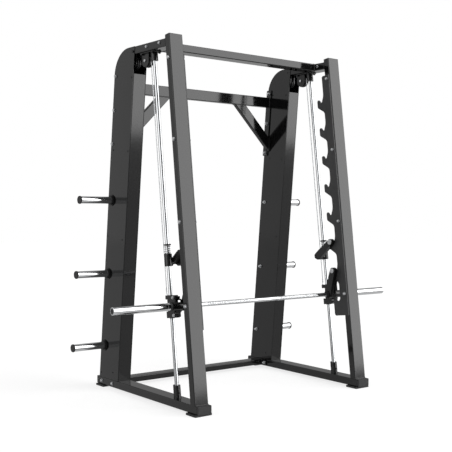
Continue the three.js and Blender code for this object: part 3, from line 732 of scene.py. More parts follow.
# ---------------------------------------------------------------- uprights and top
def uprights():
    wc = (-249.4 - 199.4) / 2
    top = 2284.95
    shear = lambda a, b, t: t + (b * SIN / COS) if t < 900 else t
    p = Piece(M_FRAME)
    p.add(prism(rrect(XC, wc, 100, 50, 6, 8), 64.3 / COS, top - 3.2, 0.4, 2, (), shear), ROD)
    p.add(prism(rrect(XC, wc, 99.2, 49.2, 5.6, 8), top - 3.2, top, 0.9, 3), ROD)
    p.both("upright_tube", "frame", ["upright_{}"])
    b = Piece(M_ZINC)
    d = Piece(M_DARK)
    for i, z in enumerate((2149, 1647, 1145, 643)):
        v = z * COS + (274.4 + LEAN * z - 224.4 * (1 / COS) - 274.4) * SIN
        loc = ROD @ T((0, -224.4, v))
        bolt(b, loc @ T((619.9, 0, 0)) @ DIR["-x"] @ R_(0.4 * i, 4, "Z"), 17, 8.5, 21, None, (5, 5))
        bolt(d, loc @ T((728, 0, 0)) @ DIR["+x"] @ R_(0.7 * i, 4, "Z"), 19, 7.5, 24)
    b.both("hook_plate_nuts", "frame")
    d.both("hook_plate_bolts", "frame")


def front_y(z):
    return 177 + LEAN * (z - 1180.5)


def top_beams():
    p = Piece(M_FRAME)
    zc = 2247.5
    yf = lambda z: front_y(z) + 50 / COS + 0.3 / COS
    fit = lambda a, b, t: t if t < -600 else -(yf(b)) + (t + yf(zc))
    p.add(prism(rrect(XC, zc, 94, 50, 6, 7), -790, -yf(zc), 0.4, 2, (), fit), XZ)
    ear = [(747, 2223.5), (747, 2171)] + arc(781, 2171, 34, math.pi, 1.6 * math.pi, 18) + [(789, 2151), (789, 2223.5)]
    for x0 in (658, 693):
        p.add(prism(ear, x0, x0 + 5, 0.6), YZ)
    p.add(turned(654, 702, 6, 0.6, 24), T((0, 781, 2171)) @ ZX, M_STEEL)
    bolt(p, at(698, 781, 2171, "+x"), 17, 7, 0)
    bolt(p, at(658, 781, 2171, "-x"), 17, 7, 0)
    # bead against the upright
    w = [(x, yf(z) + 0.8, z) for x, z in rrect(XC, zc, 95, 51, 6, 4)]
    p.add(weld(w, 2.2, 4.5, True))
    p.both("top_side_beam", "frame", ["top_beam_{}"], 32)
    b = Piece(M_ZINC)
    for y, z, m in ((738, 2241, M_DARK), (579, 2249, M_ZINC), (433, 2252, M_ZINC)):
        bolt(b, at(725, y, z, "+x", y), 15, 6.5, 18, m)
    bolt(b, at(631, 436, 2250, "-x"), 17, 6.5, 22)
    bolt(b, at(631, 588, 2250, "-x"), 17, 6.5, 22)
    b.both("top_beam_bolts", "frame")
    c = Piece(M_FRAME)
    c.add(prism(rrect(512, zc, 96, 50, 6, 8), -630.7, 630.7, 0.4), YZ)
    for s in (1, -1):
        c.add(weld([(s * 630.0, y, z) for y, z in rrect(512, zc, 97, 51, 6, 4)], 2.2, 4.5, True))
    c.make("top_cross_tube", "frame", ["top_crossbar"])


# ---------------------------------------------------------------- columns
def columns():
    z0, z1 = 64.3, 2101.5
    post = prism(rrect(0, 0, 94, 75, 6, 7), 0, 1)
    p = Piece(M_FRAME)
    p.add(warp(post, lambda a, b, t: (a + XC, col_rear(z0 if t < 0.5 else z1) - 3 - 37.5 + b, z0 if t < 0.5 else z1)))
    ay, az = col_rear(2097.5) - 175, 2097.5
    strip = arc(ay, az, 174, 0, math.pi / 2 - 0.03, 40) + arc(ay, az, 171, math.pi / 2 - 0.03, 0, 40)
    p.add(prism(strip, 631, 725, 0.3), YZ)
    p.both("column_post", "frame", ["rear_post_{}"])

    o = [(col_front(64.3), 64.3), (col_rear(64.3), 64.3), (col_rear(az), az)] + arc(ay, az, 175, 0, math.pi / 2, 40) + [(col_front(2272.5), 2272.5)]
    for nm, x0 in (("outer", 725.3), ("inner", 628.0)):
        q = Piece(M_PANEL)
        q.add(prism(o, x0, x0 + 2.7, 0.7, 3), YZ)
        q.both(f"column_{nm}_cover", "frame", [f"column_{nm}_panel_" + "{}"])
    s = Piece(M_FIT)
    for y, z in ((739.7, 2242.6), (751.9, 2074.9), (796.4, 1598.5), (981, 1614.8), (1050.5, 1036), (862, 1015.6), (1133, 95), (978, 116)):
        screw(s, at(728, y, z, "+x", y), 5.4, 3.0, M_FIT)
    for y, z in ((748, 2243), (913, 2091), (766, 2078), (812, 1602), (944.5, 1614.5), (1050.5, 1036), (862, 1015.6), (1133, 95), (978, 116)):
        screw(s, at(628, y, z, "-x", y), 5.4, 3.0, M_FIT)
    s.both("panel_screws", "frame")

    h = 47
    u = arc(-h + 4, 4, 4, math.pi, 1.5 * math.pi, 6) + arc(h - 4, 4, 4, -math.pi / 2, 0, 6) + [(h, 25), (h - 3, 25)] \
        + arc(h - 4, 4, 1, 0, -math.pi / 2, 3) + arc(-h + 4, 4, 1, -math.pi / 2, -math.pi, 3) + [(-h + 3, 25), (-h, 25)]
    c = Piece(M_PANEL)
    c.add(warp(prism(u, 0, 1), lambda a, b, t: (a + XC, col_front(z0 if t < 0.5 else 2098) + b, z0 if t < 0.5 else 2098)))
    c.both("column_channel", "frame", ["column_front_cover_{}"])


def rear_frame():
    p = Piece(M_FRAME)
    yc, zc, half = 962, 2037.5, 627.7
    p.add(prism(rrect(yc, zc, 40, 75, 5, 6), -half + 1, half - 1, 0.3), YZ)
    for s in (1, -1):
        xe, ze, hw = half - 2, 1715, 36 * math.sqrt(2)
        run = 2000 + 4 - ze
        # brace along its own axis: section 72 x 34 with rounded corners, ends cut to the plate and the beam
        ax = Vector((-s, 0, 1)).normalized()
        nx = Vector((s, 0, 1)).normalized()
        sec = rrect(0, 0, 72, 34, 5, 6)
        verts, faces = [], []
        n = len(sec)
        for end in (0, 1):
            for a, b in sec:
                base = Vector((s * xe, yc + b, ze)) + nx * a
                if end == 0:
                    k = (s * xe - base.x) / ax.x
                else:
                    k = (ze + run - base.z) / ax.z
                verts.append(tuple(base + ax * k))
        for i in range(n):
            j = (i + 1) % n
            faces.append((i, j, n + j, n + i))
        faces.append(tuple(range(n))[::-1])
        faces.append(tuple(range(n, 2 * n)))
        vol = sum(Vector(verts[f[0]]).dot(Vector(verts[f[k]]).cross(Vector(verts[f[k + 1]]))) for f in faces for k in range(1, len(f) - 1))
        if vol < 0:
            faces = [f[::-1] for f in faces]
        p.add((verts, faces))
        ring_top = [(verts[n + i][0], verts[n + i][1], 2000 - 0.2) for i in range(n)]
        ring_end = [(s * (half - 8.6), verts[i][1], verts[i][2] + 6.6) for i in range(n)]
        p.add(weld(ring_top, 2.4, 4.5, True))
        p.add(weld(ring_end, 2.4, 4.5, True))
        line = lambda z: col_rear(z) - 43
        f = [(line(1635), 1635), (line(1635) + 50, 1635), (line(2130) + 50, 2130), (line(2130), 2130)]
        soft = []
        for i in range(4):
            a, b, c = Vector(f[i - 1]), Vector(f[i]), Vector(f[(i + 1) % 4])
            u1, u2 = (a - b).normalized() * 6, (c - b).normalized() * 6
            soft += [tuple(b + u1)] + quad(tuple(b + u1), tuple(b), tuple(b + u2), 5)
        x0 = half - 8 if s > 0 else -half
        p.add(prism(soft, x0, x0 + 8, 0.8), YZ)
        p.add(weld([(s * (half - 8.8), y, z) for y, z in rrect(yc, zc, 41, 76, 5, 4)], 2.4, 4.5, True))
    p.make("rear_frame", "frame", ["rear_brace_frame"])
    b = Piece(M_ZINC)
    # the bolt heads on the outer face are dark, the nuts on the inner face zinc
    d = Piece(M_DARK)
    for i, z in enumerate((2104, 1880, 1656)):
        y = col_rear(z) - 17
        bolt(b, at(619.7, y, z, "-x", 0.5 * i), 19, 11, 25, None, (6, 6))
        bolt(d, at(728, y, z, "+x", 0.8 * i), 19, 7.5, 24)
    b.both("brace_nuts", "frame")
    d.both("brace_bolts", "frame")


# ---------------------------------------------------------------- hook plates and rods
U = lambda u: -199.4 + u
notch = lambda k: 1983 - 201.6 * (k - 1)
pi = math.pi


def hook_plates():
    s = [(U(-45), 470), (U(-45), 2166), (U(12), 2166)] + arc(U(12), 2155, 11, pi / 2, 0, 8)
    for k in range(1, 9):
        v = notch(k)
        if k < 8:
            s += [(U(23), v + 60)] + quad((U(23), v + 60), (U(24), v + 36), (U(33), v + 22), 7)
            s += arc(U(48.5), v + 11, 11, pi, 2 * pi, 18)
        else:
            # the lowest seat is a wide half round
            s += [(U(23), v + 60)] + arc(U(45), v + 21.5, 21.5, pi, 2 * pi, 24)
        s += ([(U(65), v + 17)] if k < 8 else []) + arc(U(75), v + 10, 12, 2.5 if k < 8 else 2.1, 0, 12)
        if k < 8:
            s += [(U(87), v - 24)] + quad((U(87), v - 24), (U(87), v - 33), (U(79), v - 38), 7)
            s += [(U(38), v - 66)] + quad((U(38), v - 66), (U(24), v - 76), (U(23), v - 92), 9)
        else:
            s += [(U(87), 486)] + arc(U(71), 486, 16, 0, -pi / 2, 8)
    p = Piece(M_HOOK)
    p.add(prism(s, 620, 627.7, 0.9, 3), ROD @ YZ)
    p.both("rack_hooks", "frame", ["hook_plate_{}"])


def rods():
    p = Piece(M_ROD)
    p.add(turned(76 / COS, 2214 / COS - 1, 12.5, 0.8, 56), ROD @ T((XC, 0, 0)))
    p.both("rod", "frame", ["guide_rod_{}"])
    s = Piece(M_FIT)
    prof = [(65.3, 13.1), (64.3, 14.1), (64.3, 22.2), (65.1, 23), (118, 23), (119, 22.4), (120, 22.4), (121, 23), (139.2, 23), (140.5, 22.2), (141, 20.5), (141, 14), (140.4, 13.1)]
    s.add(warp(lathe(prof, 48, True), lambda a, b, t: (a + XC, b + 274.4 + LEAN * t, t)))
    s.add(button_head(5, 2.6, 4.6), at(XC, 274.4 + LEAN * 96 - 22.8, 96, "-y"), M_DARK)
    s.both("rod_socket", "frame", ["rod_base_sleeve_{}"])


def hangers():
    p = Piece(M_FIT)
    y0 = 274.4 + LEAN * 2190 - 30
    p.add(prism(rrect(XC, (y0 + 682) / 2, 70, 682 - y0, 5, 5), 2216.2, 2222.2, 0.8))
    ck = [(598, 2221)] + arc(638, 2171, 40, pi, 2 * pi, 28) + [(678, 2221)]
    for x0 in (658, 693):
        p.add(prism(ck, x0, x0 + 5, 0.7), YZ)
    prof = [(2164, 13.1), (2163, 14), (2163, 22), (2164, 23), (2217, 23), (2219, 22), (2219, 0), (2216, 0), (2216, 13.1)]
    sock = lathe([(2163, 14.0), (2163, 22.2), (2163.8, 23), (2218.5, 23), (2218.5, 14.0), (2164, 13.1)], 44, True)
    p.add(warp(sock, lambda a, b, t: (a + XC, b + 274.4 + LEAN * t, t)))
    p.add(button_head(5, 2.6, 4.6), at(XC, 274.4 + LEAN * 2185 - 22.8, 2185, "-y"), M_DARK)
    p.add(turned(654, 702, 6, 0.6, 24), T((0, 638, 2171)) @ ZX, M_STEEL)
    bolt(p, at(698, 638, 2171, "+x"), 17, 7, 0)
    bolt(p, at(658, 638, 2171, "-x"), 17, 7, 0)
    for y in (545, 668):
        for x in (650, 706):
            bolt(p, at(x, y, 2216.2, "-z", y), 13, 5, 18, M_DARK)
    p.both("hanger", "frame", ["pulley_hanger_{}"])


def pulleys():
    for nm, y in (("front", 638), ("rear", 781)):
        p = Piece(M_NYLON)
        M = T((XC, y, 2171)) @ ZX
        rim = [(-8.4, 43), (-9, 42.2), (-9, 31.5), (-8, 30.5), (8, 30.5), (9, 31.5), (9, 42.2), (8.4, 43), (5.6, 43), (4.9, 42.4), (3.4, 37.3), (2.2, 36.3), (0, 36), (-2.2, 36.3), (-3.4, 37.3), (-4.9, 42.4), (-5.6, 43)]
        p.add(lathe(rim, 72, True), M)
        holes = [ring(22.5 * math.cos(2 * pi * k / 6), 22.5 * math.sin(2 * pi * k / 6), 5.2, 24) for k in range(6)]
        p.add(prism(ring(0, 0, 31, 72), -4.5, 4.5, 0, 2, holes + [ring(0, 0, 13.2, 48)]), M)
        p.add(collar(-8.5, 8.5, 13.0, 17.0, 0.6), M)
        p.add(collar(-7.0, 7.0, 6.4, 13.1, 0.4), M, M_STEEL)
        p.both(f"{nm}_sheave", f"{nm}_pulley_" + "{}", [f"{nm}_pulley_" + "{}"])


def rope_shape(pts, r=3.0, step=3.6, lay=42.0, strands=6, n=24):
    """Twisted wire rope along a path in the YZ plane, x = XC."""
    P = [Vector((XC, y, z)) for y, z in pts]
    fine, s = [P[0]], 0.0
    for a, b in zip(P, P[1:]):
        m = max(1, int(round((b - a).length / step)))
        fine += [a.lerp(b, i / m) for i in range(1, m + 1)]
    verts, faces, s = [], [], 0.0
    ex = Vector((1, 0, 0))
    for i, q in enumerate(fine):
        a, b = fine[max(i - 1, 0)], fine[min(i + 1, len(fine) - 1)]
        if i:
            s += (q - fine[i - 1]).length
        t = (b - a).normalized()
        nn = t.cross(ex).normalized()
        for k in range(n):
            th = 2 * pi * k / n
            rr = r * (0.80 + 0.20 * abs(math.cos(strands / 2 * (th - 2 * pi * s / lay))))
            verts.append(tuple(q + (ex * math.cos(th) + nn * math.sin(th)) * rr))
    m = len(fine)
    for i in range(m - 1):
        for k in range(n):
            j = (k + 1) % n
            faces.append((i * n + k, i * n + j, (i + 1) * n + j, (i + 1) * n + k))
    faces.append(tuple(range(n))[::-1])
    faces.append(tuple((m - 1) * n + k for k in range(n)))
    vol = sum(Vector(verts[f[0]]).dot(Vector(verts[f[k]]).cross(Vector(verts[f[k + 1]]))) for f in faces[:-2] for k in range(1, len(f) - 1))
    if vol < 0:
        faces = [f[::-1] for f in faces]
    return verts, faces


def cables():
    R, q0 = 39.5, math.atan(LEAN)
    t0 = (638 - R * COS, 2171 + R * SIN)
    v_top = (t0[0] - 274.4) * SIN + t0[1] * COS
    run = v_top - 693.3
    f = [(t0[0] - run * SIN, t0[1] - run * COS)]
    for i in range(19):
        q = pi - q0 - (pi / 2 - q0) * i / 18
        f.append((638 + R * math.cos(q), 2171 + R * math.sin(q)))
    f.append((709.35, 2171 + R))
    ws = math.atan(0.0889)
    e = [(709.65, 2171 + R)]
    for i in range(19):
        q = pi / 2 - (pi / 2 - ws) * i / 18
        e.append((781 + R * math.cos(q), 2171 + R * math.sin(q)))
    last = e[-1]
    down = (last[1] - (1060 + 150 * math.cos(ws) + 1.2)) / math.cos(ws)
    low = (last[0] + down * math.sin(ws), last[1] - down * math.cos(ws))
    e.append(low)
    to = lambda x, q: (x / 1000, (q[0] - YC) / 1000, q[1] / 1000)
    for side, mir, sx in (("right", False, 1), ("left", True, -1)):
        for nm, path, body, top, bottom in (("front", f, "carriages", t0, f[0]), ("rear", e, f"counterweight_{side}", last, low)):
            p = Piece(M_ROPE)
            p.add(rope_shape(path))
            ob = p.make(f"cable_{nm}_{side}", "frame", [f"cable_{nm}_run_{side}"], 60, mir, ride=False)
            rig.blend(ob, "frame", body, to(sx * XC / 1, top), to(sx * XC / 1, bottom))
    c = Piece(M_ZINC)
    M = ROD @ T((XC, 40.1, 0))
    c.add(turned(692.6, 697, 9, 0.6, 32), M)
    c.add(hex_head(13, 8, 0), M @ T((0, 0, 697)))
    c.add(turned(704, 738, 5.2, 1.6, 28), M)
    c.both("cable_end", "carriages")
    # counterweight: a stack of steel plates on its bolt
    wy = last[0] + (last[1] - 1060) * math.tan(ws)
    W = T((0, wy, 1060)) @ R_(ws, 4, "X")
    k = Piece(M_IRON)
    for i in range(12):
        k.add(prism(rrect(XC, 0, 76, 90, 6, 5), -150 + 25 * i, -150 + 25 * i + 24.7, 1.6, 2), W)
    k.add(turned(-149, 150.6, 8, 0.6, 24), W @ T((XC, 0, 0)), M_STEEL)
    k.both("counterweight_stack", "counterweight_{}", ["counterweight_{}"])
    g = Piece(M_ZINC)
    g.add(hex_head(19, 10, 149.8), W @ T((XC, 0, 0)))
    g.add(turned(158, 190, 5.4, 1.6, 24), W @ T((XC, 0, 0)))
    g.both("counterweight_eye", "counterweight_{}")


# ---------------------------------------------------------------- carriages, bar, hooks
BW, BV = -84.6, 622.3
PIN_W = U(48.5)


def link(ax, ay, ra, bx, by, rb, n=28):
    d, t = math.hypot(bx - ax, by - ay), math.atan2(by - ay, bx - ax)
    k = math.acos((ra - rb) / d)
    return arc(ax, ay, ra, t + k, t - k + 2 * pi, n) + arc(bx, by, rb, t - k, t + k, n)


def carriages():
    p = Piece(M_FIT)
    V = ROD @ T((XC, 0, 0))
    F = ROD @ YZ
    p.add(collar(553, 690, 12.9, 17, 0.8, 56), V)
    p.add(prism(rrect(0, -22, 44, 52, 5, 7), 643, 692, 1.4, 3, [ring(0, 0, 13.6, 48)]), V)
    p.add(prism(rrect(0, -14, 44, 88, 6, 7), 553, 594, 1.4, 3, [ring(0, 0, 15, 48)]), V)
    for v0, v1 in ((549.8, 554), (690.6, 694)):
        p.add(collar(v0, v1, 12.7, 16.2, 0.7, 48), V, M_NYLON)
    # two side plates: the outer one is plain, the inner one is swept forward over the bar housing
    k = math.acos(8.6 / 18)
    outer = [(4, 556), (4, 690), (-72, 690), (-76, 686)] + arc(BW, BV, 18, k, -k, 12) + [(-68, 600), (-68, 560), (-64, 556)]
    p.add(prism(outer, 698, 703.5, 1.0), F)
    inner = [(0, 556), (0, 692), (-40, 692)] + quad((-40, 692), (-50, 668), (-74, 666), 8) + [(-84, 662), (-86, 656), (-86, 642)] + arc(BW, BV, 18, pi / 2, -pi / 2, 16) + [(-86, 602.6), (-86, 594), (-60, 588), (-60, 556)]
    slot = arc(-42, 653, 6, -pi / 2, pi / 2, 8) + arc(-64, 653, 6, pi / 2, 3 * pi / 2, 8)
    p.add(prism(inner, 651.5, 657, 1.0, 2, [slot]), F)
    # bar housing with its end flanges
    H = ROD @ T((0, BW, BV)) @ ZX
    p.add(lathe([(650, 14.6), (650, 28), (651, 29), (656, 29), (657, 25.2), (728, 25.2), (729, 28), (734, 28), (735, 27), (735, 14.6)], 56, True), H)
    p.add(collar(648.6, 651, 14.3, 21, 0.5), H, M_NYLON)
    k = math.acos(7.6 / 18)
    p.add(prism([(-14, 584), (-14, 644), (-77, 644)] + arc(BW, BV, 18, k, -k, 12) + [(-77, 584)], 657.5, 697.5, 1.0), F, M_MATTE)
    p.add(prism(rrect(29.5, 680.4, 35, 24.8, 5, 5), 668, 688, 1.2, 2), F)
    for w, v in ((-60, 677), (-58, 568)):
        M = ROD @ T((703.2, w, v)) @ DIR["+x"]
        p.add(turned(-0.2, 2.0, 11.0, 0.5, 32), M, M_ZINC)
        p.add(turned(1.8, 8.4, 8.6, 1.6, 32), M, M_ZINC)
        p.add(lathe([(8.2, 0), (8.2, 4.0), (8.5, 4.2), (8.5, 4.9), (8.2, 5.2)] + [(8.1, 0)], 6), M, M_DARK)
        p.add(turned(0, 46, 7.5, 0.5, 24), ROD @ T((655, w, v)) @ ZX, M_MATTE)
    p.both("slide_carriage", "carriages", ["carriage_{}"])


def bar():
    p = Piece(M_CHROME)
    H = ROD @ T((0, BW, BV)) @ ZX
    for u0, u1, r, m in ((-112, 112, 14, M_CHROME), (111.9, 118.1, 13.5, M_CHROME), (118, 470, 14, M_KNURL), (469.9, 476.1, 13.5, M_CHROME), (476, 1140, 14, M_CHROME)):
        p.add(turned(u0, u1, r, 0.5, 64), H, m)
        if u0 > 0:
            p.add(turned(-u1, -u0, r, 0.5, 64), H, m)
    p.make("barbell_shaft", "bar", ["bar"])
    # sleeve with two grooves, its black stop collar and its end plug
    q = Piece(M_CHROME)
    q.add(lathe([(744.5, 14.2), (744.5, 23), (749, 24), (770, 24), (770.6, 23.5), (772.4, 23.5), (773, 24), (1120, 24), (1120.6, 23.5), (1122.4, 23.5), (1123, 24), (1146.4, 24),
                 (1148.2, 23.4), (1149.4, 22.2), (1149.8, 20.8), (1149.8, 18.8), (1148.6, 18.4), (1142, 18.4), (1142, 14.2)], 72, True), H)
    q.add(lathe([(1140.2, 0), (1140.2, 18.2), (1148.4, 18.2), (1149.6, 17.6), (1149.9, 16.4), (1149.9, 7.2), (1147.4, 6.4), (1147.4, 0)], 48), H, M_NYLON)
    q.add(lathe([(736, 14.2), (736, 31.5), (736.8, 33.2), (738.2, 34), (744, 34), (745.4, 33.2), (746, 31.8), (746.4, 26.4), (747.8, 24.6), (747.8, 23), (744.4, 14.2)], 72, True), H, M_FIT)
    q.both("barbell_sleeve", "bar", ["bar_sleeve_{}"])


def arm_piece(name, body, node, cx, cy, outline, pv, bore, head):
    p = Piece(M_FIT)
    F = ROD @ YZ
    d = Vector((PIN_W - cx, pv - cy)).normalized()
    place = lambda e, n: (cx - d.x * e + d.y * n, cy - d.y * e - d.x * n)       # e past the pivot, n to the upper side
    p.add(prism([place(*q) for q in outline], 588, 618, 2.6, 4, [ring(cx, cy, bore, 40)]), F)
    pin = ROD @ T((0, PIN_W, pv)) @ ZX
    p.add(turned(617, 633.5, 10, 1.4, 40), pin, M_STEEL)
    p.add(collar(616.8, 618.9, 10.0, 13.5, 0.5, 36), pin, M_STEEL)
    r = head
    p.add(lathe([(588.4, 0), (588.4, r), (585.0, r), (583.8, r - 0.8), (583.2, r - 2.2), (583.2, 5.4), (584.4, 5.0), (584.4, 0)], 44), pin, M_ZINC)
    return p, place


def arms():
    # bar hook: a tapered lever clamped on the bar by its hub
    L = math.hypot(PIN_W - BW, notch(7) + 11 - BV)
    p, place = arm_piece("hook_arm", "bar", "bar_hook_{}", BW, BV, link(0, 0, 30, -L, 0, 22), notch(7) + 11, 14.3, 17.0)
    c = ROD @ T((0, BW, BV)) @ ZX
    p.add(collar(581.5, 589, 14.1, 24.5, 1.0, 48), c, M_MATTE)
    p.add(collar(617, 646.5, 14.1, 30, 1.6, 56), c, M_MATTE)
    # stiffening boss on the outer side: its root is full depth, its tip starts outside the hook plate so it passes the lowest hook
    root = [(-60, 622), (-62, 668), (-84, 712), (-90, 716), (-106, 715), (-109, 711), (-109, 622)] + arc(BW, BV, 20, pi, 0, 20)
    p.add(prism(root, 616.5, 631, 1.6, 3), ROD @ YZ, M_MATTE)
    web = [(-60, 622), (-62, 668), (-84, 712), (-90, 716), (-128, 713), (-138, 706), (-139, 696), (-124, 640), (-116, 622)] + arc(BW, BV, 20, pi, 0, 20)
    p.add(prism(web, 629.2, 640, 2.0, 3), ROD @ YZ, M_MATTE)
    fin = [(-96, 690), (-100, 736), (-106, 742), (-142, 742), (-148, 736), (-140, 690)]
    p.add(prism(fin, 630.5, 640, 1.6, 2), ROD @ YZ, M_MATTE)
    for x in (596, 610):
        y, z = place(28.0, 0)
        q = Vector((0, y, z)) - Vector((0, BW, BV))
        p.add(turned(0, 3.4, 4.4, 0.5, 24), ROD @ T((x, y, z)) @ R_(-math.atan2(q.y, q.z), 4, "X"), M_DARK)
    p.both("hook_arm", "bar", ["bar_hook_{}"], 32)
    # safety stop: a wide lever with a squared pivot end, and a thicker boss on its outer side
    L = math.hypot(PIN_W, notch(6) + 11 - 893)
    body = [(-L, -20)] + [(-150, -20), (-112, -25), (-78, -29), (-14, -29.5)] + quad((-14, -29.5), (1, -29), (6, -12), 6) + quad((6, -12), (11, 4), (9, 10), 4) \
        + quad((9, 10), (6, 23), (-12, 24), 6) + [(-60, 24.5), (-L, 22)] + arc(-L, 1, 21, pi / 2, 3 * pi / 2, 20)
    p, place = arm_piece("safety_arm", "stop_arm_{}", "stop_arm_{}", 0, 893, body, notch(6) + 11, 8.4, 18.5)
    boss = [(-112, -6), (4, -6)] + quad((4, -6), (11, 4), (9, 12), 4) + quad((9, 12), (6, 26), (-12, 27), 6) + [(-96, 27)] + quad((-96, 27), (-112, 27), (-116, 10), 6)
    p.add(prism([place(*q) for q in boss], 617, 651.3, 2.0, 3, [ring(0, 893, 8.4, 40)]), ROD @ YZ, M_MATTE)
    p.both("safety_arm", "stop_arm_{}", ["stop_arm_{}"], 32)


def stops():
    p = Piece(M_FIT)
    V = ROD @ T((XC, 0, 0))
    p.add(lathe([(874.3, 12.9), (873.5, 13.7), (873.5, 24), (874.6, 25), (880, 25), (880.8, 24.4), (882.2, 24.4), (883, 25), (941, 25), (941.8, 24.4), (943.2, 24.4), (944, 25), (949, 25), (950, 24), (950, 13.7), (949.2, 12.9)], 56, True), V)
    c = ROD @ T((0, 0, 893)) @ ZX
    p.add(turned(652.0, 662, 20, 1.0, 48), c)
    p.add(turned(587.2, 662, 8, 0.8, 32), c, M_DARK)
    p.add(button_head(5, 2.6, 4.6), ROD @ T((XC, -24.8, 925)) @ DIR["-y"], M_DARK)
    p.both("stop_ring", "stop_{}", ["stop_collar_{}"])
    w = Piece(M_RUBBER)
    w.add(collar(1004, 1011.5, 13.0, 23.5, 1.2, 48), V)
    w.both("stop_top_washer", "stop_washer_{}", ["stop_washer_{}"])
    # coil: flat ground ends, four open turns between
    r, wire, v0, v1 = 16.6, 2.3, 950.4, 1003.8
    turns, path = 6.0, []
    n = int(turns * 36)
    for i in range(n + 1):
        q = i / 36
        lo, hi = v0 + wire, v1 - wire
        if q < 1:
            v = lo + q * wire * 0.9
        elif q > turns - 1:
            v = hi - (turns - q) * wire * 0.9
        else:
            f = (q - 1) / (turns - 2)
            v = lo + wire * 0.9 + f * (hi - lo - 2 * wire * 0.9)
        path.append((r * math.cos(2 * pi * q), r * math.sin(2 * pi * q), v))
    for side, mir, sx in (("right", False, 1), ("left", True, -1)):
        k = Piece(M_SPRING)
        k.add(tube_along(path, wire, 14), V)
        ob = k.make(f"buffer_coil_{side}", f"stop_{side}", [f"stop_spring_{side}"], 50, mir, ride=False)
        a, b = ROD @ Vector((sx * XC, 0, 950.3)), ROD @ Vector((sx * XC, 0, 1003.7))
        to = lambda q: (q.x / 1000, (q.y - YC) / 1000, q.z / 1000)
        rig.blend(ob, f"stop_{side}", f"stop_washer_{side}", to(a), to(b))


# ---------------------------------------------------------------- plate storage pegs
def pegs():
    for nm, (y, z) in zip(("upper", "middle", "lower"), ((1000.5, 1278), (1045, 781), (1088, 288))):
        p = Piece(M_CHROME)
        M = T((0, y, z)) @ ZX
        p.add(turned(743.5, 966.5, 24, 0.6, 64), M)
        p.add(lathe([(965, 0), (965, 25.6), (965.8, 26.5), (972.2, 26.5), (974.6, 25.6), (975.8, 23.6), (976, 21.5), (975.2, 19.5), (975.2, 0)], 60), M, M_RUBBER)
        p.add(lathe([(728.3, 0), (728.3, 37.2), (729.1, 38), (733.3, 38), (734.3, 37.2), (734.3, 0)], 64), M, M_FIT)
        p.add(lathe([(733.9, 0), (733.9, 30), (735, 31), (742, 31), (743.8, 30.2), (744.3, 28.6), (744.3, 0)], 60), M, M_RUBBER)
        p.both(f"{nm}_storage_peg", "frame", [f"{nm}_peg_" + "{}"])
        b = Piece(M_ZINC)
        bolt(b, at(628, y, z, "-x", y), 19, 8.5, 26, None, (6, 9))
        b.both(f"{nm}_peg_nut", "frame")


# ---------------------------------------------------------------- camera, lights, floor
ROOM = 0.34
LOBES = (((0.63, -0.777, 0.08), 44, 24, 3.7), ((-0.70, 0.70, 0.15), 50, 18, 0.30), ((-1.0, -0.035, 0.10), 30, 12, 2.2))


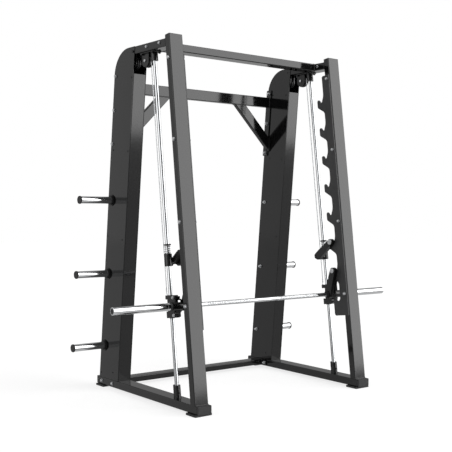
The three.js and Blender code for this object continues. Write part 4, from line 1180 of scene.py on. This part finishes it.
def stage():
    yaw, pitch, roll = math.radians(37.953), math.radians(-1.198), math.radians(0.376)
    cy, sy, cp, sp = math.cos(yaw), math.sin(yaw), math.cos(pitch), math.sin(pitch)
    fwd = Vector((sy * cp, cy * cp, sp))
    right = Vector((cy, -sy, 0))
    upv = right.cross(fwd)
    cr, sr = math.cos(roll), math.sin(roll)
    r2, u2 = right * cr + upv * sr, upv * cr - right * sr
    cam = bpy.data.cameras.new("camera")
    cam.lens, cam.sensor_width = 68.13, 36
    cam.clip_end = 60
    ob = bpy.data.objects.new("camera", cam)
    m = Matrix.Identity(4)
    for i in range(3):
        m[i][0], m[i][1], m[i][2] = r2[i], u2[i], -fwd[i]
    m[0][3], m[1][3], m[2][3] = -3.6685, -4.6193, 1.2302
    ob.matrix_world = m
    bpy.context.scene.collection.objects.link(ob)
    bpy.context.scene.camera = ob

    # a studio of soft light: a tall bright bank at the front right, a narrow one at the left, a dim one at the left rear,
    # and a dim room between them.
    # The camera sees the room as plain white.
    w = bpy.data.worlds.new("studio")
    bpy.context.scene.world = w
    w.use_nodes = True
    nt = w.node_tree
    bg = nt.nodes["Background"]
    # banks taller than they are wide
    tall = N(nt, "ShaderNodeVectorMath", operation="MULTIPLY")
    nt.links.new(N(nt, "ShaderNodeTexCoord").outputs["Generated"], tall.inputs[0])
    tall.inputs[1].default_value = (1, 1, 0.5)
    unit = N(nt, "ShaderNodeVectorMath", operation="NORMALIZE")
    nt.links.new(tall.outputs[0], unit.inputs[0])
    d = unit.outputs[0]

    def lobe(direction, c0, c1, radiance):
        v = Vector(direction).normalized()
        dot = N(nt, "ShaderNodeVectorMath", operation="DOT_PRODUCT")
        nt.links.new(d, dot.inputs[0])
        dot.inputs[1].default_value = v
        r = N(nt, "ShaderNodeMapRange")
        r.interpolation_type = "SMOOTHSTEP"
        r.inputs["From Min"].default_value = math.cos(math.radians(c0))
        r.inputs["From Max"].default_value = math.cos(math.radians(c1))
        r.inputs["To Max"].default_value = radiance
        nt.links.new(dot.outputs["Value"], r.inputs["Value"])
        return r.outputs["Result"]

    parts = [lobe(*args) for args in LOBES]
    total = N(nt, "ShaderNodeMath", operation="ADD")
    total.inputs[1].default_value = ROOM
    nt.links.new(parts[0], total.inputs[0])
    total = total.outputs[0]
    for q in parts[1:]:
        add = N(nt, "ShaderNodeMath", operation="ADD")
        nt.links.new(total, add.inputs[0])
        nt.links.new(q, add.inputs[1])
        total = add.outputs[0]
    lp = N(nt, "ShaderNodeLightPath")
    mix = N(nt, "ShaderNodeMix")
    nt.links.new(lp.outputs["Is Camera Ray"], mix.inputs[0])
    nt.links.new(total, mix.inputs[2])
    mix.inputs[3].default_value = 1.0
    nt.links.new(mix.outputs[0], bg.inputs["Color"])

    def floor(name, emission, z, albedo):
        m, nt, b = nodes_of(name)
        c = coords(nt)
        nt.links.new(tint(nt, noise(nt, c, 3.0, 3.0), (albedo * 0.98,) * 3, (albedo * 1.02,) * 3), b.inputs["Base Color"])
        b.inputs["Roughness"].default_value = 0.85
        b.inputs["Specular IOR Level"].default_value = 0.1
        b.inputs["Emission Color"].default_value = (1, 1, 1, 1)
        b.inputs["Emission Strength"].default_value = emission
        me = bpy.data.meshes.new(name)
        q = 22
        me.from_pydata([(-q, -q, z), (q, -q, z), (q, q, z), (-q, q, z)], [], [(0, 1, 2, 3)])
        me.materials.append(m)
        fl = bpy.data.objects.new(name, me)
        bpy.context.scene.collection.objects.link(fl)
        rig.stage(fl)
        return fl

    seen = floor("floor", 0.76, 0.0, 0.30)
    seen.visible_glossy = seen.visible_diffuse = False
    bounce = floor("floor_bounce", 0.46, -0.002, 0.1)
    bounce.visible_camera = False
    bpy.context.scene.view_settings.view_transform = "Standard"


rails(); feet(); base_beam(); uprights(); top_beams(); columns(); rear_frame()
hook_plates(); rods(); hangers(); pulleys(); cables(); carriages(); bar(); arms(); stops(); pegs()
stage()


def plain(b):
    return [[float(x) for x in r] for r in b]


json.dump({"cad_box": plain(CAD_BOX), "visual_box": plain(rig.bounds())}, open("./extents.json", "w"))
